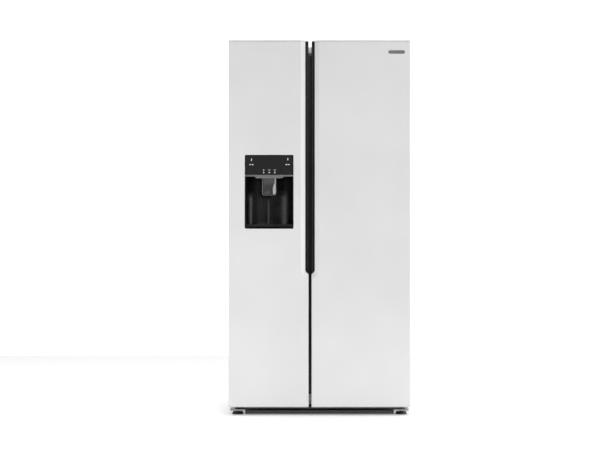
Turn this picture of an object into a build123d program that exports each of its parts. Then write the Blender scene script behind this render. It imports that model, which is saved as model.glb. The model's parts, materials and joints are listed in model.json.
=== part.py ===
from build123d import *

import os
from dataclasses import dataclass

# A side by side refrigerator: a narrow freezer on the left, a wide fresh-food
# compartment on the right, two full-height doors with a shared recessed grip,
# and an ice and water dispenser in the freezer door.
# Millimetres. +X is to the right of someone facing the doors, +Y runs from
# the doors to the back, +Z is up. The origin is on the floor, under the
# middle of the overall box.

# ---------------------------------------------------------------- overall
overall_width = 868.0
overall_depth = 740.0
overall_height = 1790.0

# ---------------------------------------------------------------- doors
door_thickness = 64.0
door_bottom_z = 40.5
door_gap = 14.5
gap_centre_x = -45.0
door_edge_radius = 3.0
door_skin = 1.2
door_liner_wall = 2.0
top_cap_height = 10.0
bottom_cap_height = 4.0
cap_wall = 3.0
cap_floor = 1.2
door_to_cabinet = 12.0
dyke_protrusion = 32.0
dyke_width = 23.0
dyke_inset_hinge = 10.0
dyke_inset_gap = 19.0
dyke_inset_z = 8.0

# Hinge axis, measured from the door's outer side and from its face.
hinge_inset_x = 20.0
hinge_inset_y = 36.0
hinge_pin_radius = 6.0
hinge_pin_fit = 0.05
hinge_foam_clearance = 0.6
lower_pin_reach = 30.0
upper_pin_reach = 30.0

# Gaskets
gasket_width = 18.0
gasket_rest_gap = 0.4
gasket_inset_hinge = 24.0
gasket_inset_gap = 13.0
gasket_inset_bottom = 24.0
gasket_inset_top = 50.0

# Recessed grip, shared by the two doors: bevel, mouth and undercut
grip_bevel_half = 43.5
grip_mouth_half = 22.6
grip_bevel_depth = 10.0
grip_arc_centre_z = 697.0
grip_skin_offset = 2.8
grip_profile_half = 41.0
grip_lip = 3.5
grip_profile_start = 11.5
grip_cavity_half = 36.0
grip_floor_depth = 44.0
grip_profile_end = 50.0
grip_top_wall = 5.0

# Door bins
bin_height = 110.0
bin_wall = 2.5
bin_reach = 140.0
bin_side_inset_hinge = 76.0
bin_side_inset_gap = 45.0
bin_first_rise = 22.0
bin_clearance = 0.4
fridge_bin_count = 5
freezer_low_bin_count = 3
freezer_high_bin_count = 2

# Dispenser in the freezer door
dispenser_width = 231.8
dispenser_height = 351.8
dispenser_below_top = 547.3
dispenser_offset_x = 3.4
dispenser_corner = 5.0
dispenser_depth = 78.0
dispenser_wall = 4.0
dispenser_taper_x = 29.0
dispenser_taper_z = 5.0
dispenser_rim_depth = 8.0
control_height = 95.1
control_thickness = 4.0
trim_height = 7.5
trim_depth = 6.0
trim_bulge_drop = 8.5
trim_bulge_low = 120.0
trim_bulge_high = 144.0
dispenser_block_margin = 45.0
dispenser_block_rise = 150.0

paddle_width = 70.0
paddle_drop = 90.0
paddle_thickness = 4.0
paddle_corner = 12.0
paddle_pivot_depth = 22.0
paddle_pivot_below_panel = 8.0
paddle_barrel_radius = 3.5
paddle_ear_width = 4.0
paddle_ear_radius = 6.5
paddle_ear_gap = 0.5
paddle_rib = 2.0

drip_tray_height = 12.0
drip_tray_depth = 58.0
drip_tray_wall = 2.5
drip_tray_clearance = 1.0
drip_bar_count = 13
drip_bar_width = 4.0

chute_half_width = 38.0
chute_wall = 2.0
chute_inlet_low = 58.0
chute_inlet_height = 70.0
chute_outlet_front = 24.0
chute_outlet_rear = 69.0
flap_thickness = 3.0
flap_pivot_radius = 2.5
flap_drop = 6.0
flap_clearance = 2.0
flap_ear_width = 3.0

# Badge on the right door
badge_width = 79.0
badge_height = 16.0
badge_proud = 1.0
badge_corner = 7.9
badge_from_side = 66.0
badge_below_top = 57.0

# ---------------------------------------------------------------- cabinet
cabinet_side_inset = 2.0
cabinet_top_drop = 25.0
cabinet_bottom_z = 45.0
shell_sheet = 1.2
rear_sheet = 1.0
rear_recess = 5.0
liner_wall = 2.0
freezer_side_foam = 60.0
fridge_side_foam = 45.0
mullion_width = 80.0
floor_foam = 50.0
ceiling_foam = 50.0
rear_foam = 45.0
mullion_cover_thickness = 3.0
mullion_cover_top_drop = 32.0

bay_depth = 215.0
bay_height = 285.0
bay_foam = 45.0
bay_sheet = 1.2
bay_cover_sheet = 1.5
bay_slot_length = 60.0
bay_slot_height = 6.0
bay_slot_columns = 8
bay_slot_rows = 9

base_sheet = 2.0
base_front_setback = 23.0
base_flange_height = 18.0

# Lower hinges, feet and rollers
bracket_width = 70.0
bracket_side_inset = 6.0
bracket_low_z = 21.5
bracket_thickness = 6.0
bracket_front_inset = 19.0
bracket_rear_reach = 85.0
bracket_riser_front = 30.0
bracket_corner = 8.0
bushing_radius = 10.0
bushing_gap = 0.3

foot_radius = 28.0
foot_top_radius = 24.0
foot_height = 12.0
foot_stud_radius = 5.0
foot_stud_fit = 0.05
foot_stud_top = 38.0
foot_behind_cabinet_front = 3.0
foot_from_side = 41.0

roller_radius = 20.0
roller_width = 18.0
roller_from_side = 49.0
roller_from_rear = 60.0
roller_axle_radius = 4.0
roller_axle_fit = 0.08
roller_lug_thickness = 3.0
roller_lug_gap = 0.8
roller_lug_half = 14.0

kick_half_width = 356.0
kick_thickness = 14.0
kick_low_z = 3.0
kick_top_clearance = 1.0
kick_setback = 34.0
kick_bulge = 6.0
kick_arm_width = 24.0
kick_arm_count = 4
kick_arm_spacing = 190.0
kick_arm_height = 8.0

# Upper hinges
leaf_sheet = 4.0
leaf_arm_half = 11.0
leaf_above_cap_floor = 0.8
leaf_base_length = 70.0
leaf_base_width = 60.0
hinge_cover_length = 95.0
hinge_cover_width = 112.0
hinge_cover_wall = 2.5
hinge_cover_top_clearance = 1.0
hinge_cover_slot_clearance = 1.0
hinge_cover_corner = 10.0
screw_radius = 2.5
screw_fit = 0.1
screw_head_radius = 5.0
screw_head_height = 3.0
screw_pitch = 34.0

# ---------------------------------------------------------------- inside
drawer_front_behind_axis = 183.0
drawer_wall = 3.0
drawer_front_wall = 12.0
drawer_lower_height = 257.0
drawer_upper_height = 180.0
drawer_floor_gap = 0.4
drawer_side_gap = 4.0
drawer_hinge_side_lateral = 62.0
drawer_rear_gap = 7.0
drawer_grip_depth = 14.0
drawer_grip_height = 30.0

shelf_thickness = 6.0
shelf_front_behind_axis = 175.0
shelf_side_gap = 1.0
shelf_rear_gap = 4.0
shelf_above_drawer = 14.0
top_shelf_room = 50.0
bucket_shelf_gap = 0.4
fridge_shelf_count = 4
freezer_shelf_count = 3
ledge_width = 8.0
ledge_height = 8.0

evaporator_cover_setback = 70.0
evaporator_cover_sheet = 4.0
cover_side_gap = 0.6
evaporator_depth = 50.0
evaporator_height = 270.0
evaporator_side_gap = 14.0
evaporator_rise = 40.0
evaporator_fin_count = 26
evaporator_fin_thickness = 2.0
evaporator_tube_radius = 5.0
evaporator_tube_rows = 5
evaporator_fan_radius = 52.0
evaporator_fan_rise = 420.0
evaporator_fan_tip_gap = 6.0
evaporator_boss_radius = 18.0
evaporator_boss_length = 26.0

duct_depth = 18.0
duct_half_width = 130.0
duct_top_room = 60.0
duct_slot_count = 5
duct_slot_width = 60.0
duct_slot_height = 12.0

bucket_half_width = 115.0
bucket_height = 155.0
bucket_wall = 3.0
bucket_floor_above_chute = 92.0
bucket_rear_gap = 22.0
spout_half_width = 50.0
spout_gap = 9.0
spout_drop = 82.0
auger_shaft_radius = 6.0
auger_blade_radius = 42.0
auger_blade_width = 12.0
auger_blade_thickness = 5.0
auger_blade_count = 14
auger_twist = 40.0
auger_rise = 50.0
auger_end_gap = 0.4
auger_pin_radius = 4.0

icemaker_width = 110.0
icemaker_height = 80.0
icemaker_length = 260.0
icemaker_ceiling_room = 62.0
icemaker_front_behind_axis = 255.0
icemaker_wall = 3.0
icemaker_head_length = 55.0
icemaker_cube_count = 7

filter_radius = 26.0
filter_length = 230.0
filter_head_length = 50.0
filter_wall_gap = 12.0
filter_ceiling_gap = 8.0
filter_front_behind_axis = 190.0

# ---------------------------------------------------------------- machine bay
compressor_radius = 74.0
compressor_height = 165.0
compressor_x = 230.0
compressor_rise = 14.0
compressor_foot_length = 190.0
compressor_foot_width = 28.0
compressor_foot_sheet = 4.0
compressor_foot_spread = 44.4
compressor_dome_radius = 24.0

condenser_x0 = -350.0
condenser_x1 = -90.0
condenser_tube_radius = 3.5
tube_overhang = 6.0
condenser_columns = 5
condenser_rows = 6
condenser_pitch = 28.0
condenser_plate_sheet = 2.0
condenser_rise = 22.0

fan_radius = 68.0
fan_hub_radius = 16.0
fan_hub_length = 24.0
fan_blade_count = 5
fan_blade_thickness = 2.5
fan_blade_pitch = 30.0
fan_blade_root = 1.6
fan_blade_overhang = 4.0
fan_x = -30.0
fan_shaft_radius = 3.0
fan_shaft_fit = 0.05
motor_radius = 30.0
motor_length = 44.0
motor_post_width = 20.0
motor_post_sheet = 4.0
motor_gap = 2.0

drain_pan_length = 230.0
drain_pan_width = 170.0
drain_pan_height = 30.0
drain_pan_wall = 2.0

valve_x = 360.0
valve_z = 150.0
valve_body = 36.0
valve_thread_radius = 13.0
gland_x = -385.0
gland_z = 120.0
gland_radius = 9.0
gland_flange_radius = 15.0
gland_flange_thickness = 2.5

# ---------------------------------------------------------------- derived planes
left_x = -overall_width / 2
right_x = overall_width / 2
rear_y = overall_depth / 2
face_y = -overall_depth / 2 + badge_proud
door_rear_y = face_y + door_thickness
door_top_z = overall_height
skin_top_z = door_top_z - top_cap_height
skin_bottom_z = door_bottom_z + bottom_cap_height
cap_floor_z = skin_top_z + cap_floor
axis_y = face_y + hinge_inset_y

cabinet_left = left_x + cabinet_side_inset
cabinet_right = right_x - cabinet_side_inset
cabinet_front = door_rear_y + door_to_cabinet
cabinet_top = overall_height - cabinet_top_drop
rear_panel_y = rear_y - rear_recess - rear_sheet
ring_back_y = cabinet_front + shell_sheet

freezer_x0 = cabinet_left + freezer_side_foam
freezer_x1 = gap_centre_x - mullion_width / 2
fridge_x0 = gap_centre_x + mullion_width / 2
fridge_x1 = cabinet_right - fridge_side_foam
room_floor_z = cabinet_bottom_z + floor_foam
room_ceiling_z = cabinet_top - ceiling_foam
room_rear_y = rear_panel_y - rear_foam

bay_front_y = rear_panel_y - bay_depth
bay_top_z = cabinet_bottom_z + bay_height
step_front_y = bay_front_y - bay_foam
step_top_z = bay_top_z + bay_foam
base_bottom_z = cabinet_bottom_z - base_sheet
base_front_y = cabinet_front + base_front_setback

dispenser_top_z = door_top_z - dispenser_below_top
dispenser_bottom_z = dispenser_top_z - dispenser_height
dispenser_x = (left_x + gap_centre_x - door_gap / 2) / 2 + dispenser_offset_x
control_bottom_z = dispenser_top_z - control_height
paddle_pivot_z = control_bottom_z - paddle_pivot_below_panel
paddle_pivot_y = face_y + paddle_pivot_depth
dyke_rear_y = door_rear_y + dyke_protrusion
block_bottom_z = dispenser_bottom_z - dispenser_block_margin
block_top_z = dispenser_top_z + dispenser_block_rise
chute_inlet_z = dispenser_top_z + chute_inlet_low
flap_pivot_y = face_y + chute_outlet_front + flap_clearance
flap_pivot_z = dispenser_top_z - dispenser_wall - dispenser_taper_z - flap_drop

drawer_front_y = axis_y + drawer_front_behind_axis
drawer_upper_z = step_top_z + drawer_floor_gap
drawer_lower_z = room_floor_z + drawer_floor_gap
first_shelf_z = drawer_upper_z + drawer_upper_height + shelf_above_drawer
shelf_front_y = axis_y + shelf_front_behind_axis
evaporator_cover_y = room_rear_y - evaporator_cover_setback
bucket_floor_z = chute_inlet_z + bucket_floor_above_chute - bucket_wall
bucket_rear_y = evaporator_cover_y - bucket_rear_gap
icemaker_z = room_ceiling_z - icemaker_ceiling_room - icemaker_height
auger_z = bucket_floor_z + auger_rise
leaf_z = cap_floor_z + leaf_above_cap_floor
kick_top_z = door_bottom_z - kick_top_clearance
kick_front_y = face_y + kick_setback
kick_back_y = kick_front_y + kick_thickness
roller_y = rear_panel_y - roller_from_rear


@dataclass(frozen=True)
class Leaf:
    """One door: side is -1 where it hinges on the left and +1 on the right."""

    name: str
    side: int
    outer_x: float
    gap_x: float
    room_outer_x: float
    room_inner_x: float

    @property
    def low_x(self):
        return min(self.outer_x, self.gap_x)

    @property
    def high_x(self):
        return max(self.outer_x, self.gap_x)

    @property
    def axis_x(self):
        return self.outer_x - self.side * hinge_inset_x


freezer = Leaf(
    "freezer", -1, left_x, gap_centre_x - door_gap / 2, freezer_x0, freezer_x1
)
fridge = Leaf(
    "fridge", 1, right_x, gap_centre_x + door_gap / 2, fridge_x1, fridge_x0
)

os.makedirs("parts", exist_ok=True)


def save(builder, name):
    """Label a finished piece and write it to its own file."""
    builder.part.label = name
    export_step(builder.part, f"parts/{name}.step")


def block(x_ends, y_ends, z_ends, mode=Mode.ADD):
    """A box between three pairs of planes, given in either order."""
    x0, x1 = sorted(x_ends)
    y0, y1 = sorted(y_ends)
    z0, z1 = sorted(z_ends)
    with Locations(((x0 + x1) / 2, (y0 + y1) / 2, (z0 + z1) / 2)):
        Box(x1 - x0, y1 - y0, z1 - z0, mode=mode)


def upright(x, y, radius, z0, z1, mode=Mode.ADD):
    """A vertical cylinder from z0 up to z1."""
    with Locations((x, y, (z0 + z1) / 2)):
        Cylinder(radius, z1 - z0, mode=mode)


def crosswise(x0, x1, y, z, radius, mode=Mode.ADD):
    """A cylinder along X."""
    with Locations(Location(((x0 + x1) / 2, y, z), (0, 90, 0))):
        Cylinder(radius, x1 - x0, mode=mode)


def lengthwise(x, y0, y1, z, radius, mode=Mode.ADD):
    """A cylinder along Y."""
    with Locations(Location((x, (y0 + y1) / 2, z), (90, 0, 0))):
        Cylinder(radius, y1 - y0, mode=mode)


# ---------------------------------------------------------------- recessed grip
def grip_outline(half_width, y):
    """The grip from the front: a slot with a round lower end, open at the top."""
    over_top = door_top_z + grip_bevel_half
    with BuildSketch(Plane.XZ.offset(-y)) as outline:
        with BuildLine():
            left = gap_centre_x - half_width
            right = gap_centre_x + half_width
            Line((right, grip_arc_centre_z), (right, over_top))
            Line((right, over_top), (left, over_top))
            Line((left, over_top), (left, grip_arc_centre_z))
            low = (gap_centre_x, grip_arc_centre_z - half_width)
            ThreePointArc((left, grip_arc_centre_z), low, (right, grip_arc_centre_z))
        make_face()
    return outline.sketch


def grip_bevel(offset, mode=Mode.SUBTRACT):
    """The bevelled mouth, widened all round by offset."""
    outer = grip_outline(grip_bevel_half + offset, face_y)
    inner = grip_outline(grip_mouth_half + offset, face_y + grip_bevel_depth)
    loft(sections=[outer.faces()[0], inner.faces()[0]], ruled=True, mode=mode)


def grip_prism(half_width, start, end, mode=Mode.SUBTRACT):
    """A straight stretch of the grip between two depths below the door face."""
    outline = grip_outline(half_width, face_y + start)
    extrude(outline, amount=end - start, dir=(0, 1, 0), mode=mode)


# ---------------------------------------------------------------- doors
def door_section(leaf, inset, rear_y, z):
    """Plan outline of a door with its two front corners rounded."""
    radius = door_edge_radius - inset
    with BuildSketch(Plane.XY.offset(z)) as section:
        width = leaf.high_x - leaf.low_x - 2 * inset
        depth = rear_y - face_y - inset
        centre = ((leaf.low_x + leaf.high_x) / 2, (face_y + inset + rear_y) / 2)
        with Locations(centre):
            Rectangle(width, depth)
        fillet(section.vertices().group_by(Axis.Y)[0], radius)
    return section.sketch


def hinge_bores(leaf, radius):
    """Bores for the lower and upper hinge pins."""
    low = door_bottom_z - 1
    upright(leaf.axis_x, axis_y, radius, low, door_bottom_z + lower_pin_reach + 2, Mode.SUBTRACT)
    top = cap_floor_z + 1
    upright(leaf.axis_x, axis_y, radius, leaf_z - upper_pin_reach - 2, top, Mode.SUBTRACT)


def door_panel(leaf):
    """Pressed steel face and side walls."""
    rise = skin_top_z - skin_bottom_z
    with BuildPart() as panel:
        extrude(door_section(leaf, 0, door_rear_y, skin_bottom_z), amount=rise)
        grip_bevel(0)
        grip_prism(grip_mouth_half, grip_bevel_depth, grip_profile_start)
        with BuildPart(mode=Mode.PRIVATE) as inside:
            void = door_section(leaf, door_skin, door_rear_y + door_skin, skin_bottom_z)
            extrude(void, amount=rise)
            grip_bevel(grip_skin_offset)
            mouth_wall = grip_mouth_half + grip_skin_offset
            grip_prism(mouth_wall, grip_bevel_depth, grip_profile_start)
        add(inside.part, mode=Mode.SUBTRACT)
        grip_prism(grip_profile_half, grip_profile_start, grip_profile_end)
        if leaf is freezer:
            dispenser_cutout()
    return panel


def dispenser_cutout():
    """Opening in the door face for the dispenser."""
    with BuildSketch(Plane.XZ.offset(-face_y + 1)) as opening:
        with Locations((dispenser_x, (dispenser_bottom_z + dispenser_top_z) / 2)):
            RectangleRounded(dispenser_width, dispenser_height, dispenser_corner)
    depth = dispenser_rim_depth + 1
    extrude(opening.sketch, amount=depth, dir=(0, 1, 0), mode=Mode.SUBTRACT)


def door_caps(leaf):
    """Top cap, a tray that the hinge leaf lies in, and the flat bottom cap."""
    far_wall_x = leaf.gap_x + leaf.side * cap_wall
    with BuildPart() as caps:
        top = door_section(leaf, 0, door_rear_y, skin_top_z)
        extrude(top, amount=top_cap_height)
        tray_x = (leaf.outer_x + leaf.side, far_wall_x)
        tray_y = (face_y + cap_wall, door_rear_y + 1)
        block(tray_x, tray_y, (cap_floor_z, door_top_z + 1), Mode.SUBTRACT)
        grip_bevel(0)
        grip_prism(grip_mouth_half, grip_bevel_depth, grip_profile_start)
        grip_prism(grip_profile_half, grip_profile_start, grip_profile_end)
        bottom = door_section(leaf, 0, door_rear_y, door_bottom_z)
        extrude(bottom, amount=bottom_cap_height)
        hinge_bores(leaf, hinge_pin_radius + hinge_pin_fit)
    return caps


def dyke_span(leaf, inset):
    """X planes of the liner's raised ring, shrunk by inset."""
    outer = leaf.room_outer_x - leaf.side * (dyke_inset_hinge + inset)
    inner = leaf.room_inner_x + leaf.side * (dyke_inset_gap + inset)
    return outer, inner


def door_dyke(leaf, inset, start_y, end_y, mode=Mode.ADD):
    """The ring that stands into the compartment, and the dispenser's block."""
    outer, inner = dyke_span(leaf, inset)
    low = room_floor_z + dyke_inset_z + inset
    high = room_ceiling_z - dyke_inset_z - inset
    web = dyke_width - 2 * inset
    block((outer, outer - leaf.side * web), (start_y, end_y), (low, high), mode)
    block((inner, inner + leaf.side * web), (start_y, end_y), (low, high), mode)
    block((outer, inner), (start_y, end_y), (low, low + web), mode)
    block((outer, inner), (start_y, end_y), (high - web, high), mode)
    if leaf is freezer:
        z_ends = (block_bottom_z + inset, block_top_z - inset)
        block((outer, inner), (start_y, end_y), z_ends, mode)


def door_liner(leaf):
    """Moulded inner wall of the door."""
    plate_y = door_rear_y - door_liner_wall
    x_ends = (leaf.low_x + door_skin, leaf.high_x - door_skin)
    with BuildPart() as liner:
        block(x_ends, (plate_y, door_rear_y), (skin_bottom_z, skin_top_z))
        door_dyke(leaf, 0, plate_y, dyke_rear_y)
        void_rear_y = dyke_rear_y - door_liner_wall
        door_dyke(leaf, door_liner_wall, plate_y - 1, void_rear_y, Mode.SUBTRACT)
        if leaf is freezer:
            chute_duct(0, Mode.SUBTRACT)
    return liner


def door_foam(leaf):
    """Insulation that fills the space between the steel, the caps and the liner."""
    rise = skin_top_z - skin_bottom_z
    plate_y = door_rear_y - door_liner_wall
    with BuildPart() as foam:
        extrude(door_section(leaf, door_skin, plate_y, skin_bottom_z), amount=rise)
        grip_bevel(grip_skin_offset)
        mouth_wall = grip_mouth_half + grip_skin_offset
        grip_prism(mouth_wall, grip_bevel_depth, grip_profile_start)
        grip_prism(grip_profile_half, grip_profile_start, grip_profile_end)
        fill_rear_y = dyke_rear_y - door_liner_wall
        door_dyke(leaf, door_liner_wall, plate_y, fill_rear_y)
        hinge_bores(leaf, hinge_pin_radius + hinge_foam_clearance)
        if leaf is freezer:
            dispenser_cutout()
            dispenser_body(0, Mode.SUBTRACT)
            chute_duct(0, Mode.SUBTRACT)
    return foam


def door_gasket(leaf):
    """Magnetic seal round the door's rear face."""
    outer = leaf.outer_x - leaf.side * gasket_inset_hinge
    inner = leaf.gap_x + leaf.side * gasket_inset_gap
    low = door_bottom_z + gasket_inset_bottom
    high = door_top_z - gasket_inset_top
    y_ends = (door_rear_y, cabinet_front - gasket_rest_gap)
    step = leaf.side * gasket_width
    with BuildPart() as gasket:
        block((outer, inner), y_ends, (low, high))
        y_cut = (y_ends[0] - 1, y_ends[1] + 1)
        z_cut = (low + gasket_width, high - gasket_width)
        block((outer - step, inner + step), y_cut, z_cut, Mode.SUBTRACT)
    return gasket


def handle_profile(leaf):
    """Dark moulding that lines the finger pocket in the door's inner edge."""
    top = door_top_z - cap_floor
    with BuildPart() as profile:
        grip_prism(grip_profile_half, grip_profile_start, grip_profile_end, Mode.ADD)
        mouth_end = grip_profile_start + grip_lip
        grip_prism(grip_mouth_half, grip_profile_start - 1, mouth_end)
        with BuildPart(mode=Mode.PRIVATE) as cavity:
            grip_prism(grip_cavity_half, mouth_end, grip_floor_depth, Mode.ADD)
            z_cap = (top - grip_top_wall, top + 2 * grip_bevel_half)
            span = (gap_centre_x - overall_width, gap_centre_x + overall_width)
            block(span, (face_y, door_rear_y), z_cap, Mode.SUBTRACT)
        add(cavity.part, mode=Mode.SUBTRACT)
        far = (gap_centre_x - leaf.side * overall_width, leaf.gap_x)
        block(far, (face_y, door_rear_y), (0, 2 * door_top_z), Mode.SUBTRACT)
        above = (top, 2 * door_top_z)
        x_ends = (leaf.low_x, leaf.high_x)
        block(x_ends, (face_y, door_rear_y), above, Mode.SUBTRACT)
    return profile


def even_heights(low, high, count):
    """Heights that share the span between low and high among count bins."""
    pitch = (high - low) / count
    return [low + i * pitch for i in range(count)]


def door_bin_heights(leaf):
    """Floor heights of a door's bins."""
    low = room_floor_z + dyke_inset_z + dyke_width + bin_first_rise
    high = room_ceiling_z - dyke_inset_z - dyke_width
    if leaf is fridge:
        return even_heights(low, high, fridge_bin_count)
    lower = even_heights(low, block_bottom_z, freezer_low_bin_count)
    upper_low = block_top_z + bin_first_rise
    return lower + even_heights(upper_low, high, freezer_high_bin_count)


def door_bin_span(leaf):
    """X planes of the bins, between the two uprights of the raised ring."""
    outer = leaf.axis_x - leaf.side * bin_side_inset_hinge
    inner = leaf.room_inner_x + leaf.side * bin_side_inset_gap
    return outer, inner


def door_bins(leaf):
    """Clear bins, each with a lug on both sides that hooks on the raised ring."""
    outer, inner = door_bin_span(leaf)
    ring_outer, ring_inner = dyke_span(leaf, 0)
    ring_outer -= leaf.side * (dyke_width + bin_clearance)
    ring_inner += leaf.side * (dyke_width + bin_clearance)
    front = door_rear_y + bin_clearance
    rear = axis_y + bin_reach
    wall = leaf.side * bin_wall
    with BuildPart() as bins:
        for z in door_bin_heights(leaf):
            block((outer, inner), (front, rear), (z, z + bin_height))
            lug_z = (z + bin_height / 3, z + bin_height)
            block((ring_outer, ring_inner), (front, dyke_rear_y), lug_z)
            x_void = (outer - wall, inner + wall)
            y_void = (front + bin_wall, rear - bin_wall)
            block(x_void, y_void, (z + bin_wall, z + bin_height + 1), Mode.SUBTRACT)
    return bins


# ---------------------------------------------------------------- dispenser
def tapered_well(front_y, rear_y, half_x, z_ends, draw_x, draw_z, mode):
    """A well that narrows from front_y to rear_y by draw_x and draw_z a side."""
    low, high = z_ends
    with BuildSketch(Plane.XZ.offset(-front_y)) as mouth:
        with Locations((dispenser_x, (low + high) / 2)):
            Rectangle(2 * half_x, high - low)
    with BuildSketch(Plane.XZ.offset(-rear_y)) as base:
        with Locations((dispenser_x, (low + high) / 2)):
            Rectangle(2 * (half_x - draw_x), high - low - 2 * draw_z)
    faces = [mouth.sketch.faces()[0], base.sketch.faces()[0]]
    loft(sections=faces, ruled=True, mode=mode)


def dispenser_body(inset, mode=Mode.ADD):
    """The housing's outer form behind its rim, shrunk all round by inset."""
    rim_y = face_y + dispenser_rim_depth
    z_ends = (dispenser_bottom_z + inset, dispenser_top_z - inset)
    half = dispenser_width / 2 - inset
    rear = face_y + dispenser_depth - inset
    tapered_well(rim_y, rear, half, z_ends, dispenser_taper_x, dispenser_taper_z, mode)


def dispenser_rim(inset, start, end, mode):
    """A straight stretch of the dispenser's rounded outline."""
    with BuildSketch(Plane.XZ.offset(-start)) as outline:
        with Locations((dispenser_x, (dispenser_bottom_z + dispenser_top_z) / 2)):
            width = dispenser_width - 2 * inset
            height = dispenser_height - 2 * inset
            RectangleRounded(width, height, dispenser_corner - inset)
    extrude(outline.sketch, amount=end - start, dir=(0, 1, 0), mode=mode)


def chute_duct(inset, mode=Mode.ADD):
    """The ice passage, from the door's rear down to the housing's ceiling."""
    rear = dyke_rear_y
    low = chute_inlet_z + inset
    high = chute_inlet_z + chute_inlet_height - inset
    front = face_y + chute_outlet_front + inset
    back = face_y + chute_outlet_rear - inset
    floor = dispenser_top_z - dispenser_taper_z - dispenser_wall
    half = chute_half_width - inset
    with BuildSketch(Plane.YZ.offset(dispenser_x - half)) as profile:
        with BuildLine():
            Polyline((rear, low), (rear, high), (front, floor + high - low), close=False)
            Polyline((front, floor + high - low), (front, floor), (back, floor))
            Line((back, floor), (rear, low))
        make_face()
    extrude(profile.sketch, amount=2 * half, dir=(1, 0, 0), mode=mode)


def flap_ears(mode=Mode.ADD):
    """Two ears under the housing's ceiling that carry the flap's pin."""
    for side in (-1, 1):
        near = dispenser_x + side * (chute_half_width + flap_clearance)
        far = near + side * flap_ear_width
        y_ends = (flap_pivot_y - 2 * flap_pivot_radius, flap_pivot_y + 2 * flap_pivot_radius)
        z_ends = (flap_pivot_z - 2 * flap_pivot_radius, dispenser_top_z - dispenser_taper_z)
        block((near, far), y_ends, z_ends, mode)


def dispenser_housing():
    """Dark moulded well with its rim, ice passage and flap ears."""
    with BuildPart() as housing:
        dispenser_rim(0, face_y, face_y + dispenser_rim_depth, Mode.ADD)
        dispenser_body(0)
        chute_duct(0)
        rim_y = face_y + dispenser_rim_depth
        dispenser_rim(dispenser_wall, face_y, rim_y, Mode.SUBTRACT)
        dispenser_body(dispenser_wall, Mode.SUBTRACT)
        flap_ears()
        chute_duct(chute_wall, Mode.SUBTRACT)
        mouth_y = (face_y + chute_outlet_front + chute_wall, face_y + chute_outlet_rear - chute_wall)
        half = chute_half_width - chute_wall
        floor = dispenser_top_z - dispenser_taper_z - dispenser_wall
        mouth_z = (floor - dispenser_wall, floor + dispenser_wall)
        block((dispenser_x - half, dispenser_x + half), mouth_y, mouth_z, Mode.SUBTRACT)
        inlet_z = (chute_inlet_z + chute_wall, chute_inlet_z + chute_inlet_height - chute_wall)
        inlet_y = (dyke_rear_y - dispenser_wall, dyke_rear_y + 1)
        block((dispenser_x - half, dispenser_x + half), inlet_y, inlet_z, Mode.SUBTRACT)
        span = (dispenser_x - dispenser_width, dispenser_x + dispenser_width)
        panel_y = (face_y - 1, face_y + control_thickness)
        block(span, panel_y, (control_bottom_z, dispenser_top_z + 1), Mode.SUBTRACT)
        trim_y = (face_y - 1, face_y + trim_depth)
        block(span, trim_y, (control_bottom_z - trim_height, control_bottom_z), Mode.SUBTRACT)
        pivot = flap_pivot_radius + hinge_pin_fit
        reach = chute_half_width + flap_clearance + flap_ear_width + 1
        ends = (dispenser_x - reach, dispenser_x + reach)
        crosswise(*ends, flap_pivot_y, flap_pivot_z, pivot, Mode.SUBTRACT)
    return housing


def control_panel():
    """Dark touch panel, flush with the door face."""
    with BuildPart() as panel:
        dispenser_rim(0, face_y, face_y + control_thickness, Mode.ADD)
        span = (dispenser_x - dispenser_width, dispenser_x + dispenser_width)
        low = (dispenser_bottom_z - 1, control_bottom_z)
        block(span, (face_y - 1, face_y + control_thickness + 1), low, Mode.SUBTRACT)
    return panel


def dispenser_trim():
    """Bright strip under the panel, with a centre swell and the paddle's ears."""
    low = control_bottom_z - trim_height
    bulge = low - trim_bulge_drop
    half = dispenser_width / 2
    with BuildPart() as trim:
        with BuildSketch(Plane.XZ.offset(-face_y)) as outline:
            with BuildLine(Plane.XZ.offset(-face_y)):
                Polyline(
                    (dispenser_x - half, control_bottom_z),
                    (dispenser_x - half, low),
                    (dispenser_x - trim_bulge_high / 2, low),
                    (dispenser_x - trim_bulge_low / 2, bulge),
                    (dispenser_x + trim_bulge_low / 2, bulge),
                    (dispenser_x + trim_bulge_high / 2, low),
                    (dispenser_x + half, low),
                    (dispenser_x + half, control_bottom_z),
                    close=True,
                )
            make_face()
        extrude(outline.sketch, amount=trim_depth, dir=(0, 1, 0))
        for side in (-1, 1):
            near = dispenser_x + side * (paddle_width / 2 + paddle_ear_gap)
            far = near + side * paddle_ear_width
            y_ends = (face_y + control_thickness, paddle_pivot_y + paddle_ear_radius)
            z_ends = (paddle_pivot_z - paddle_ear_radius, control_bottom_z)
            block((near, far), y_ends, z_ends)
        reach = paddle_width / 2 + paddle_ear_gap + paddle_ear_width + 1
        bore = paddle_barrel_radius + hinge_pin_fit
        x_ends = (dispenser_x - reach, dispenser_x + reach)
        crosswise(*x_ends, paddle_pivot_y, paddle_pivot_z, bore, Mode.SUBTRACT)
    return trim


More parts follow.
